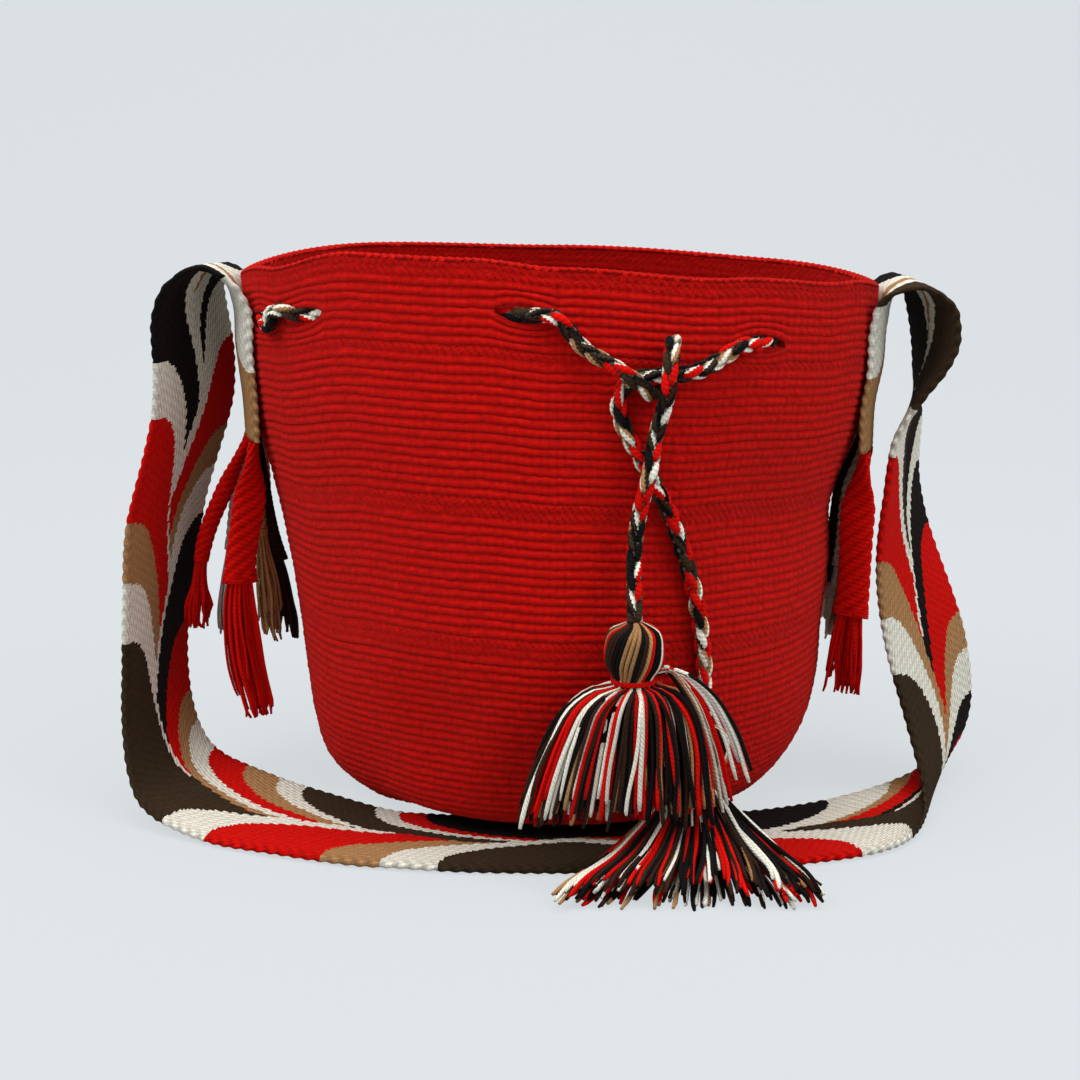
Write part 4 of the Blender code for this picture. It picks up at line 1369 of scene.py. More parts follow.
    def colour_at(self, along: Array, across: Array) -> Array:
        """The yarn that shows at each place of the weave.

        Each colour starts as a blunt band at an edge and draws out to a point past the strap's middle.

        Args:
            along: The distance along the strap.
            across: The distance across it from its middle.

        Returns:
            The yarn's colour, last axis.
        """
        half, length = self.width / 2, float(along.max())
        seam = self.seam_sway * np.sin(2 * math.pi * along / self.seam_wave)
        front = across < seam
        from_edge = np.where(front, across + half, half - across) / half
        lag = self.flame_length * np.clip(from_edge, 0, 1.2) ** 3
        shown = np.zeros((*along.shape, 3))
        for is_right, is_front, bands in (
            (False, True, LEFT_FRONT_BANDS),
            (False, False, LEFT_BACK_BANDS),
            (True, True, RIGHT_FRONT_BANDS),
            (True, False, RIGHT_BACK_BANDS),
        ):
            from_end = length - along if is_right else along
            here = ((along > length / 2) == is_right) & (front == is_front)
            stops = np.array([start for start, _ in bands])
            lights = np.array([yarn.light() for _, yarn in bands])
            index = np.clip(np.searchsorted(stops, from_end - lag, side="right") - 1, 0, len(stops) - 1)
            shown = np.where(here[..., None], lights[index], shown)
        return shown

    def make(self, finish: bpy.types.Material) -> bpy.types.Object:
        """Builds the band with its ribs, its scalloped edges and its colours.

        Args:
            finish: The weave's material.

        Returns:
            The strap.
        """
        frames = self.fine_frames()
        along = reach_of(frames[0])
        half = self.width / 2
        edge = self.edge_share * self.thickness
        flat = np.linspace(-(half - edge), half - edge, self.steps_across + 1)
        turn = np.radians([-60, -20, 20, 60])
        rim = half - edge + edge * np.cos(turn)
        across = np.concatenate([flat, rim[::-1], flat[::-1], -rim])
        rise = np.concatenate([np.ones(len(flat)), np.sin(turn[::-1]), -np.ones(len(flat)), np.sin(turn)])
        grid_along = np.repeat(along[:, None], len(across), axis=1)
        grid_across = np.repeat(across[None], len(along), axis=0)
        from_edge = half - np.abs(grid_across)
        bump = wave((grid_along + 0.9 * from_edge) / self.edge_pitch)
        near_edge = eased(1 - from_edge / self.edge_run)
        slant = (grid_along + self.rib_slope * np.abs(grid_across)) / self.rib_pitch
        rib = self.rib_depth * (1 - wave(slant) * 0.9)
        deepest = self.edge_depth * self.rib_depth
        sink = rib * (1 - near_edge) + deepest * (1 - bump) * near_edge
        out = rise[None] * (self.thickness / 2) - np.sign(rise)[None] * sink * np.abs(rise)[None]
        fade = eased(1 - from_edge / self.edge_fade)
        spread = grid_across + np.sign(grid_across) * self.scallop * (bump - 0.75) * fade
        points = self.place(frames, spread, out)
        points[..., 2] = np.maximum(points[..., 2], self.lowest)
        # painted shade in the ribs' grooves and the edge's scallops, painted light on the ribs
        painted_shading = self.crest_painted_light - self.groove_shade * sink / deepest
        colours = self.colour_at(grid_along, grid_across) * painted_shading[..., None]
        flat_uv = np.stack([np.abs(grid_across) / MM, grid_along / MM], axis=-1).reshape(-1, 2)
        uv = flat_uv[ring_faces(len(along), len(across))]
        made = tube_skin(points, colours[:-1], uv).piece("woven_strap", finish, "strap_weave")
        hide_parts("shoulder_strap")
        return made


def smooth_between(stops: Array, values: Array, at: Array) -> Array:
    """Values read between stops on a curve that bends softly at each of them.

    Args:
        stops: Where the values are known, rising.
        values: The known values.
        at: Where the values are wanted.

    Returns:
        The wanted values.
    """
    slopes = np.gradient(values, stops)
    index = np.clip(np.searchsorted(stops, at, side="right") - 1, 0, len(stops) - 2)
    run = stops[index + 1] - stops[index]
    share = (at - stops[index]) / run
    return between(share, run, (values[index], values[index + 1]), (slopes[index], slopes[index + 1]))


Bands = tuple[tuple[float, Yarn], ...]
# the distance from the strap's end at which each colour starts along an edge; near the strap's
# middle both halves have the same colours, so the flames meet there without a cut
LEFT_FRONT_BANDS: Bands = (
    (0.000, Yarn.TAN), (0.036, Yarn.CREAM), (0.084, Yarn.DARK), (0.139, Yarn.CREAM), (0.168, Yarn.RED),
    (0.224, Yarn.TAN), (0.256, Yarn.CREAM), (0.287, Yarn.OLIVE), (0.388, Yarn.CREAM), (0.415, Yarn.RED),
    (0.476, Yarn.TAN), (0.504, Yarn.CREAM), (0.530, Yarn.OLIVE),
)
LEFT_BACK_BANDS: Bands = (
    (0.000, Yarn.TAN), (0.036, Yarn.CREAM), (0.080, Yarn.DARK), (0.100, Yarn.CREAM), (0.134, Yarn.RED),
    (0.182, Yarn.TAN), (0.205, Yarn.CREAM), (0.232, Yarn.DARK), (0.290, Yarn.RED), (0.330, Yarn.TAN),
    (0.350, Yarn.CREAM), (0.372, Yarn.RED), (0.398, Yarn.TAN), (0.420, Yarn.CREAM), (0.436, Yarn.OLIVE),
    (0.480, Yarn.CREAM), (0.494, Yarn.RED), (0.510, Yarn.DARK),
)
RIGHT_FRONT_BANDS: Bands = (
    (0.000, Yarn.TAN), (0.040, Yarn.CREAM), (0.076, Yarn.OLIVE), (0.160, Yarn.CREAM), (0.186, Yarn.RED),
    (0.243, Yarn.TAN), (0.274, Yarn.CREAM), (0.305, Yarn.OLIVE), (0.410, Yarn.CREAM), (0.452, Yarn.RED),
    (0.490, Yarn.TAN), (0.504, Yarn.CREAM), (0.530, Yarn.OLIVE),
)
RIGHT_BACK_BANDS: Bands = (
    (0.000, Yarn.TAN), (0.045, Yarn.CREAM), (0.078, Yarn.DARK), (0.175, Yarn.CREAM), (0.200, Yarn.DARK),
    (0.235, Yarn.RED), (0.285, Yarn.TAN), (0.305, Yarn.CREAM), (0.330, Yarn.DARK), (0.355, Yarn.RED),
    (0.398, Yarn.TAN), (0.412, Yarn.CREAM), (0.448, Yarn.DARK),
)


@dataclass(frozen=True)
class Tail:
    """A bundle of yarn that runs on from the strap's end as a rope and opens into a tuft."""

    node: str
    yarn: Yarn
    share: float
    width: float
    thickness: float
    lay: Lay
    rope_share: float
    slot: str
    # steps out, back and down from the strap's end, where the size is 1, and the bundle's size there
    steps: tuple[tuple[float, float, float, float], ...]
    swell: float = 1.15


# how many strands a rope of each lay has and how far along it they wind once round
ROPE_LAYS = {Lay.BRAID: (6, 17 * MM), Lay.PLAIT: (6, 40 * MM), Lay.TWIST: (4, 19 * MM)}


LEFT_TAILS = (
    Tail(
        "left_tail_wide_red", Yarn.RED, -0.385, 0.0150, 0.0060, Lay.PLAIT, 0.50, "red_tail",
        ((0.003, 0, -0.030, 1.0), (0.0085, -0.002, -0.065, 0.95),
         (0.0095, -0.003, -0.085, 1.15), (0.007, -0.003, -0.118, 1.10), (0.001, -0.003, -0.148, 0.8)),
        1.25,
    ),
    Tail(
        "left_tail_thin_red", Yarn.RED, -0.190, 0.0085, 0.0052, Lay.TWIST, 0.66, "red_tail",
        ((0.012, 0, -0.025, 1.0), (0.0255, 0, -0.058, 0.9),
         (0.0290, 0, -0.080, 0.8), (0.0295, 0, -0.090, 1.3), (0.0295, 0, -0.104, 1.2)),
        1.25,
    ),
    Tail(
        "left_tail_cream", Yarn.MAUVE, -0.045, 0.0085, 0.0050, Lay.TWIST, 0.55, "cream_tail",
        ((0.006, 0, -0.030, 1.0), (0.012, 0, -0.070, 0.9),
         (0.014, 0, -0.090, 1.3), (0.014, 0, -0.116, 1.2)),
    ),
    Tail(
        "left_tail_tan", Yarn.TAN, 0.100, 0.0085, 0.0050, Lay.TWIST, 0.50, "tan_tail",
        ((-0.001, 0, -0.030, 1.0), (-0.004, -0.001, -0.065, 0.9),
         (-0.006, -0.001, -0.085, 1.3), (-0.008, -0.001, -0.118, 1.1)),
    ),
    Tail(
        "left_tail_dark", Yarn.BROWN, 0.245, 0.0085, 0.0055, Lay.BRAID, 0.62, "dark_tail",
        ((-0.002, 0, -0.030, 1.0), (-0.007, 0, -0.060, 0.9),
         (-0.011, 0, -0.084, 1.4), (-0.016, 0, -0.120, 1.2)),
    ),
    Tail(
        "left_tail_rear_cream", Yarn.CREAM, 0.400, 0.0090, 0.0050, Lay.TWIST, 0.60, "cream_tail",
        ((0.001, 0, -0.030, 1.0), (-0.001, 0, -0.065, 0.9),
         (-0.004, 0, -0.085, 1.3), (-0.006, 0, -0.110, 1.1)),
    ),
)
RIGHT_TAILS = (
    Tail(
        "right_tail_wide_red", Yarn.RED, -0.385, 0.0150, 0.0060, Lay.PLAIT, 0.66, "red_tail",
        ((-0.003, 0, -0.035, 1.0), (-0.004, -0.001, -0.075, 0.95),
         (-0.006, -0.002, -0.095, 1.1), (-0.008, -0.002, -0.130, 1.0)),
        1.30,
    ),
    Tail(
        "right_tail_thin_red", Yarn.DEEP_RED, -0.190, 0.0085, 0.0052, Lay.TWIST, 0.66, "red_tail",
        ((-0.005, 0, -0.030, 1.0), (-0.006, 0, -0.065, 0.9),
         (-0.007, 0, -0.085, 1.12), (-0.008, 0, -0.118, 1.0)),
    ),
    Tail(
        "right_tail_tan", Yarn.TAN, -0.045, 0.0085, 0.0050, Lay.TWIST, 0.60, "tan_tail",
        ((-0.006, 0, -0.030, 1.0), (-0.009, 0, -0.062, 0.9),
         (-0.010, 0, -0.082, 1.12), (-0.012, 0, -0.108, 1.0)),
    ),
    Tail(
        "right_tail_cream", Yarn.CREAM, 0.100, 0.0085, 0.0050, Lay.TWIST, 0.62, "cream_tail",
        ((-0.008, 0, -0.030, 1.0), (-0.011, 0, -0.062, 0.9),
         (-0.013, 0, -0.082, 1.12), (-0.016, 0, -0.112, 1.0)),
    ),
    Tail(
        "right_tail_dark", Yarn.BROWN, 0.245, 0.0085, 0.0055, Lay.BRAID, 0.70, "dark_tail",
        ((-0.009, 0, -0.028, 1.0), (-0.013, 0, -0.052, 0.9),
         (-0.014, 0, -0.066, 1.3), (-0.015, 0, -0.082, 1.2)),
    ),
    Tail(
        "right_tail_rear_cream", Yarn.CREAM, 0.400, 0.0090, 0.0050, Lay.TWIST, 0.62, "cream_tail",
        ((-0.006, 0, -0.030, 1.0), (-0.009, 0, -0.062, 0.9),
         (-0.010, 0, -0.082, 1.3), (-0.012, 0, -0.105, 1.1)),
    ),
)


@dataclass
class StrapFringe:
    """The tails under the strap's two ends."""

    strap: WovenStrap
    point_spacing: float = 0.002
    strand_radius: float = 0.85 * MM
    strands: int = 22
    turn_out: float = math.radians(62)
    turn_run: float = 0.034
    # how thick the binding is against its bundle
    wrap_share: float = 1.04
    # the width of a bundle that has the usual count of loose yarns
    usual_width: float = 8.5 * MM
    # the shortest loose yarn and how much longer others are, as shares of the tuft's length
    shortest: float = 0.72
    longer: float = 0.36
    # the tuft's width where it starts and how much wider it gets, as shares of the bundle's
    tuft_start: float = 0.62
    tuft_spread: float = 0.52
    sway: float = 0.6 * MM
    ends_apart: float = 1.2 * MM

    def make(self, finish: bpy.types.Material) -> list[bpy.types.Object]:
        """Builds every tail.

        Args:
            finish: The yarn's material.

        Returns:
            The tails.
        """
        made = [self.make_tail(-1, tail, finish, seed) for seed, tail in enumerate(LEFT_TAILS)]
        return made + [self.make_tail(1, tail, finish, 20 + seed) for seed, tail in enumerate(RIGHT_TAILS)]

    def make_tail(self, side: int, tail: Tail, finish: bpy.types.Material, seed: int) -> bpy.types.Object:
        """Builds one tail: its rope, its binding and its loose yarns.

        Args:
            side: -1 for the left end of the strap, 1 for the right.
            tail: What it is like.
            finish: The yarn's material.
            seed: The start of its random draws.

        Returns:
            The tail.
        """
        end = -1 if side > 0 else 0
        middle, width, face, share = (part[end : end + 1 or None] for part in self.strap.frames())
        across = np.array([[tail.share * self.strap.width]])
        start = self.strap.place((middle, width, face, share), across, np.zeros((1, 1)))[0, 0]
        start[2] -= FORM.clearance
        rows = smooth_through(
            [
                (start[0] + side * out, start[1] + back, start[2] + down, size * MM)
                for out, back, down, size in ((0, 0, 0, 1.0), *tail.steps)
            ],
            self.point_spacing,
        )
        cut = round(len(rows) * tail.rope_share)
        outward = np.array([side, 0.0, 0.0])
        turned = (self.turn_out * eased(reach_of(rows[:, :3]) / self.turn_run))[:, None]
        sides = unit(-width[0] * np.cos(turned) + outward * np.sin(turned))
        strands, pitch = ROPE_LAYS[tail.lay]
        sizes = rows[:, 3] / MM * (1 + (tail.swell - 1) * eased(reach_of(rows[:, :3]) / self.turn_run))
        flatness = tail.width / tail.thickness
        rope = Rope(tail.width / 2, tail.yarn, strands, pitch, flatness)
        skins = [rope.skin(rows[: cut + 1, :3], sides[: cut + 1], sizes[: cut + 1])]
        wrap = Rope(tail.width / 2 * self.wrap_share, tail.yarn, 2, 2.4 * MM, flatness, 16, 0.6 * MM, 0.2)
        bound = slice(cut - 2, cut + 1)
        skins.append(wrap.skin(rows[bound, :3], sides[bound], sizes[bound]))
        draw = np.random.default_rng(100 + seed)
        tuft = np.column_stack([rows[cut - 2 :, :3], sizes[cut - 2 :] * MM])
        aside = sides[cut]
        ahead = unit(np.cross(aside, rows[cut, :3] - rows[cut - 2, :3]))
        count = round(self.strands * (tail.width * tail.swell / self.usual_width))
        for _ in range(count):
            skins.append(self.loose_yarn(tuft, aside, ahead, tail, draw))
        made = Skin.joined(skins).piece(tail.node + "_yarn", finish, tail.slot)
        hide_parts(tail.node)
        return made

    def loose_yarn(
        self, tuft: Array, width: Array, face: Array, tail: Tail, draw: np.random.Generator
    ) -> Skin:
        """One loose yarn of a tuft.

        Args:
            tuft: The points and sizes of the tuft's middle line.
            width: The direction of the bundle's width.
            face: The direction of its thickness.
            tail: What the tail is like.
            draw: Where its random draws come from.

        Returns:
            The yarn's skin.
        """
        turn, reach = draw.random() * 2 * math.pi, math.sqrt(draw.random())
        length = self.shortest + self.longer * draw.random()
        rows = evenly(tuft, 0.004)
        count = max(4, min(len(rows), round(len(rows) * length)))
        rows = rows[:count]
        share = np.linspace(0, 1, count)
        spread = rows[:, 3] / MM * (self.tuft_start + self.tuft_spread * share**0.8)
        sway = self.sway * np.sin(2 * math.pi * (share * (1.2 + draw.random()) + draw.random()))
        aside = width * (math.cos(turn) * reach * tail.width / 2)
        ahead = face * (math.sin(turn) * reach * tail.thickness / 2)
        path = rows[:, :3] + (aside + ahead)[None] * spread[:, None]
        path = path + sway[:, None] * (width * math.sin(turn) + face * math.cos(turn))[None] * share[:, None]
        path[-1] = path[-1] + (width * (draw.random() - 0.5) * 2 + np.array([0, 0, 0.4])) * self.ends_apart
        shade = 0.75 + 0.4 * draw.random()
        return strand_skin(path, self.strand_radius * (0.85 + 0.3 * draw.random()), tail.yarn, shade)


# a distance along the wall, a height and an offset
Step = tuple[float, float, float]


@dataclass
class Drawstring:
    """The braided cord that runs round the bag through its slits and ends in the two tassels."""

    form: BagForm = FORM
    radius: float = 0.00325
    fullness: float = 1.30
    rest: float = 0.0006
    inner_rest: float = 0.0020
    slit_length: float = 0.030
    point_spacing: float = 0.002

    def route(self) -> list[Step]:
        """Distances along the wall, heights and offsets, from the upper tassel to the lower one.

        Returns:
            The steps of the cord's way.
        """
        out = self.radius + self.rest
        inside = -self.form.thickness - self.radius - self.inner_rest
        middle = -self.form.thickness / 2
        half = self.slit_length / 2
        round_bag = float(self.form.arc()[1][-1])

        def through(name: str, before: float, after: float, turn: float = 0.0) -> list[Step]:
            """Three points that lead through a slit, from its right end to its left."""
            at, height = SLITS[name].distance + turn, SLITS[name].height
            return [(at + half, height, before), (at, height, middle), (at - half, height, after)]

        upper_end = [
            (0.0358, 0.1270, 0.0180),
            (0.0362, 0.1390, 0.0155),
            (0.0376, 0.1570, 0.0098),
            (0.0398, 0.1760, 0.0090),
            (0.0422, 0.1965, 0.0122),
            (0.0446, 0.2130, 0.0092),
            (0.0460, 0.2245, 0.0135),
            (0.0468, 0.2340, 0.0182),
            (0.0474, 0.2455, 0.0188),
            (0.0484, 0.2540, 0.0167),
            (0.0504, 0.2572, 0.0112),
            (0.0520, 0.2525, 0.0055),
            (0.0516, 0.2430, out),
            (0.0490, 0.2342, out),
            (0.0434, 0.2318, 0.0072),
            (0.0376, 0.2362, 0.0118),
            (0.0300, 0.2424, 0.0125),
            (0.0200, 0.2482, 0.0080),
            (0.0100, 0.2540, out),
        ]
        lower_end = [
            (0.0720, 0.2450, 0.0060),
            (0.0600, 0.2422, 0.0105),
            (0.0492, 0.2415, 0.0110),
            (0.0404, 0.2408, 0.0072),
            (0.0342, 0.2388, out),
            (0.0290, 0.2348, out),
            (0.0270, 0.2270, out),
            (0.0300, 0.2170, out),
            (0.0362, 0.2065, out),
            (0.0430, 0.1960, out),
            (0.0530, 0.1820, out),
            (0.0635, 0.1640, out),
            (0.0715, 0.1420, out),
            (0.0775, 0.1190, out),
            (0.0812, 0.1000, out),
            (0.0808, 0.0850, 0.0060),
            (0.0778, 0.0700, 0.0135),
        ]
        route = upper_end + through("front_left", out, inside)
        route += [(-0.0600, 0.2655, inside), (-0.0950, 0.2635, inside)]
        route += through("front_far_left", inside, out) + through("left_front", out, inside)
        route += [(-0.2100, 0.2550, inside), (-0.2430, 0.2540, inside), (-0.2750, 0.2540, inside)]
        route += through("left_rear", inside, out, -round_bag) + [(0.4920 - round_bag, 0.2545, out)]
        route += through("rear_left", out, inside, -round_bag) + [(0.3940 - round_bag, 0.2480, inside)]
        route += through("rear_right", inside, out, -round_bag) + [(0.2985 - round_bag, 0.2440, out)]
        route += through("right_rear", out, inside, -round_bag)
        for distance, height in ((0.2150, 0.2440), (0.1750, 0.2460), (0.1420, 0.2490)):
            route.append((distance - round_bag, height, inside))
        route += through("front_right", inside, out, -round_bag)
        return route + [(distance - round_bag, height, offset) for distance, height, offset in lower_end]

    def path(self) -> Array:
        """The cord's middle line."""
        rows = smooth_through(self.route(), self.point_spacing)
        return np.array([self.form.along_wall(*row) for row in rows])

    def make(self, path: Array, finish: bpy.types.Material) -> bpy.types.Object:
        """Builds the braid along the cord's middle line.

        Args:
            path: The middle line.
            finish: The yarn's material.

        Returns:
            The cord.
        """
        braid = RoundBraid(self.fullness * self.radius)
        made = braid.skin(path, np.array([1.0, 0, 0])).piece("braided_drawstring", finish, "cord_braid")
        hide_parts("drawstring")
        return made


@dataclass(frozen=True)
class TasselSection:
    """A section of a tassel, from the top of its head: its middle, half sizes and turn forward."""

    place: tuple[float, float, float]
    half_width: float
    half_depth: float
    ahead: float


@dataclass
class Tassel:
    """A tassel: a head of folded yarns, a bound neck and a skirt of cut yarns."""

    name: str
    sections: tuple[TasselSection, ...]
    # steps right, back and up from the top of the head to the middle of the binding, and its turn forward
    tie: tuple[float, float, float, float]
    seed: int
    mix: tuple[tuple[Yarn, float], ...]
    neck_index: int = 4
    head_yarns: int = 36
    skirt_yarns: int = 210
    yarn_radius: float = 1.12 * MM
    head_twist: float = 0.16
    head_reach: float = 0.96
    core_reach: float = 0.80
    # painted shade: how much darker than brown the core is painted
    core_painted_shade: float = 0.35
    # how far in the innermost skirt yarn lies and how much farther out others are, as shares of the half size
    skirt_start: float = 0.62
    skirt_spread: float = 0.42
    # the shortest skirt yarn and how much longer others are, as shares of the skirt's length
    shortest: float = 0.86
    longer: float = 0.18
    bend: float = 1.5 * MM
    lowest: float = 1.0 * MM
    # how far the head's yarns rise over its top, and the steps along a yarn of the head and of the skirt
    crown_rise: float = 1.6 * MM
    head_step: float = 2.2 * MM
    skirt_step: float = 5.0 * MM
    strays: tuple[tuple[float, float, Yarn], ...] = ()
    neck_radius: float = 0.0098
    tie_turns: int = 2
    tie_height: float = 1.7 * MM

    def point(self, row: Array, turn: float, reach: float) -> Array:
        """A point of the tassel's section, by its turn around and its share out from the middle.

        Args:
            row: The section's middle, half width, half depth and turn forward.
            turn: The angle around the tassel.
            reach: The share out from its middle.

        Returns:
            The point, before the head's place is added.
        """
        through = np.array([0.0, -math.cos(row[5]), math.sin(row[5])])
        across = np.array([1.0, 0.0, 0.0])
        return row[:3] + across * math.cos(turn) * row[3] * reach + through * math.sin(turn) * row[4] * reach

    def rows(self) -> Array:
        """The sections as rows of numbers."""
        return np.array([(*s.place, s.half_width, s.half_depth, s.ahead) for s in self.sections])

    def make(self, top: Array, finish: bpy.types.Material) -> list[bpy.types.Object]:
        """Builds the tassel.

        Args:
            top: The top of its head.
            finish: The material of its yarns and its binding.

        Returns:
            The yarns and the binding.
        """
        draw = np.random.default_rng(self.seed)
        rows = self.rows()
        neck = self.neck_index
        skins = [self.core(rows, top)]
        for index in range(self.head_yarns):
            turn = 2 * math.pi * (index + 0.3 * draw.random()) / self.head_yarns
            head = enumerate(rows[: neck + 2])
            line = np.array(
                [self.point(row, turn + self.head_twist * level, self.head_reach) for level, row in head]
            )
            crown = rows[0, :3] * 0.6 + line[0] * 0.4 + np.array([0, 0, self.crown_rise])
            path = smooth_through(np.vstack([crown, line]) + top, self.head_step)
            yarn = self.pick(draw)
            skins.append(strand_skin(path, self.yarn_radius, yarn, 0.8 + 0.35 * draw.random(), sides=6))
        for index in range(self.skirt_yarns):
            skins.append(self.skirt_yarn(rows[neck:], top, index, draw))
        for reach, fall, yarn in self.strays:
            path = self.stray_path(rows[neck], reach, fall) + top
            skins.append(strand_skin(path, self.yarn_radius, yarn, 1.0))
        yarns = Skin.joined(skins).piece(f"{self.name}_loose_yarn", finish, "tassel_yarn")
        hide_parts(f"{self.name}_yarn")
        return [yarns, self.make_tie(top, finish)]

    def pick(self, draw: np.random.Generator) -> Yarn:
        """One of the tassel's yarns, by its share in the mix."""
        yarns, shares = zip(*self.mix)
        return yarns[int(draw.choice(len(yarns), p=np.array(shares) / sum(shares)))]

    def core(self, rows: Array, top: Array) -> Skin:
        """The dark yarns inside, as one closed form under the loose ones, their brown darkened further as
        painted shade.

        Args:
            rows: The tassel's sections.
            top: The top of its head.

        Returns:
            The form's skin.
        """
        sides = 20
        turn = 2 * math.pi * np.arange(sides) / sides
        rings = np.array(
            [[self.point(row, angle, self.core_reach) for angle in turn[::-1]] for row in rows[:-2]]
        )
        rings = rings + top
        colours = np.broadcast_to(Yarn.BROWN.light() * self.core_painted_shade, (len(rings) - 1, sides, 3))
        return tube_skin(rings, colours, np.zeros(((len(rings) - 1) * sides, 4, 2)))

    def skirt_yarn(self, rows: Array, top: Array, index: int, draw: np.random.Generator) -> Skin:
        """One cut yarn of the skirt, from the neck to its frayed end.

        Args:
            rows: The sections from the neck down.
            top: The top of the head.
            index: The yarn's number.
            draw: Where its random draws come from.

        Returns:
            The yarn's skin.
        """
        turn = 2 * math.pi * (index / self.skirt_yarns + 0.02 * draw.random())
        reach = self.skirt_start + self.skirt_spread * math.sqrt(draw.random())
        shares = np.linspace(0, 1, len(rows))
        drift = 0.30 * (draw.random() - 0.5)
        inner = reach * (0.92 + 0.08 * shares)
        stops = zip(rows, turn + drift * shares, inner)
        line = np.array([self.point(row, around, out) for row, around, out in stops])
        path = evenly(smooth_through(line + top, 0.003), self.skirt_step)
        keep = max(5, round(len(path) * (self.shortest + self.longer * draw.random())))
        path = path[:keep]
        if draw.random() < 0.5:
            path = np.vstack([path, path[-1] + (path[-1] - path[-2]) * (0.4 + 0.8 * draw.random())])
        share = np.linspace(0, 1, len(path))
        bend = self.bend * np.sin(2 * math.pi * (share * (0.7 + 0.8 * draw.random()) + draw.random()))
        bend = bend * share
        path = path + bend[:, None] * np.array([math.sin(turn + 1), 0.5 * math.cos(turn), 0.25])
        path[:, 2] = np.maximum(path[:, 2], self.lowest)
        radius = self.yarn_radius * (0.85 + 0.3 * draw.random())
        return strand_skin(path, radius, self.pick(draw), 0.75 + 0.45 * draw.random())

    def stray_path(self, neck: Array, reach: float, fall: float) -> Array:
        """The path of a yarn that springs out to the right of the neck and falls beside the skirt.

        Args:
            neck: The neck's section.
            reach: How far to the right its end is.
            fall: How far below the neck its end is.

        Returns:
            The path's points, from the top of the head.
        """
        steps = ((0.10, 0.0), (0.36, -0.08), (0.62, 0.10), (0.84, 0.48), (1.0, 1.0))
        places = [neck[:3] + np.array([reach * out, -0.2 * reach * out, -fall * down]) for out, down in steps]
        return smooth_through(places, 0.005)

    def make_tie(self, top: Array, finish: bpy.types.Material) -> bpy.types.Object:
        """Builds the yarn that is wound round the neck.

        Args:
            top: The top of the head.
            finish: The yarn's material.

        Returns:
            The binding.
        """
        right, back, up, ahead = self.tie
        turn = np.linspace(0, 2 * math.pi * self.tie_turns, 40 * self.tie_turns)
        radius = self.neck_radius + 0.7 * MM
        climb = (turn / turn[-1] - 0.5) * self.tie_height
        down = np.array([0.0, -math.sin(ahead), -math.cos(ahead)])
        through = np.array([0.0, -math.cos(ahead), math.sin(ahead)])
        path = top + np.array([right, back, up]) + radius * np.cos(turn)[:, None] * np.array([1.0, 0, 0])
        path = path + radius * np.sin(turn)[:, None] * through + climb[:, None] * down
        yarn = Rope(0.85 * MM, Yarn.RED, 3, 5 * MM, steps_around=10, step_along=1.0 * MM, groove=0.2)
        made = yarn.skin(path, np.array([0.0, 0.3, 1.0])).piece(f"{self.name}_binding", finish, "tassel_tie")
        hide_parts(f"{self.name}_tie")
        return made


HEAD = 0.0138
NECK = 0.0098
UPPER_SECTIONS = (
    TasselSection((0, 0, 0), 0.45 * HEAD, 0.45 * HEAD, 0),
    TasselSection((0, 0, -0.003), 0.85 * HEAD, 0.82 * HEAD, 0),
    TasselSection((0, 0, -0.010), HEAD, 0.95 * HEAD, 0),
    TasselSection((0, 0, -0.018), 0.98 * HEAD, 0.92 * HEAD, 0),
    TasselSection((0, 0, -0.0245), NECK, NECK, 0),
    TasselSection((0, 0, -0.0285), NECK, NECK, 0),
    TasselSection((-0.001, -0.001, -0.0315), 0.0210, 0.0135, 0.10),
    TasselSection((-0.003, -0.005, -0.0390), 0.0310, 0.0155, 0.25),
    TasselSection((-0.005, -0.011, -0.0540), 0.0385, 0.0135, 0.30),
    TasselSection((-0.007, -0.015, -0.0700), 0.0430, 0.0115, 0.25),
    TasselSection((-0.009, -0.018, -0.0890), 0.0465, 0.0085, 0.15),
)
LOWER_SECTIONS = (
    TasselSection((0, 0, 0), 0.45 * HEAD, 0.45 * HEAD, 0),
    TasselSection((-0.0005, 0, -0.003), 0.85 * HEAD, 0.80 * HEAD, 0),
    TasselSection((-0.0018, 0, -0.010), HEAD, 0.88 * HEAD, 0.10),
    TasselSection((-0.0032, -0.001, -0.018), 0.98 * HEAD, 0.88 * HEAD, 0.35),
    TasselSection((-0.0045, -0.005, -0.0255), NECK, NECK, 0.70),
    TasselSection((-0.0050, -0.008, -0.0290), NECK, NECK, 0.80),
    TasselSection((-0.0052, -0.0135, -0.0350), 0.0180, 0.0105, 0.90),
    TasselSection((-0.0055, -0.0240, -0.0450), 0.0320, 0.0095, 0.95),
    TasselSection((-0.0058, -0.0360, -0.0540), 0.0460, 0.0080, 1.10),
    TasselSection((-0.0078, -0.0500, -0.0600), 0.0600, 0.0068, 1.30),
    TasselSection((-0.0088, -0.0580, -0.0622), 0.0635, 0.0058, 1.40),
)
UPPER_TIE = (0.0, 0.0, -0.0265, 0.0)
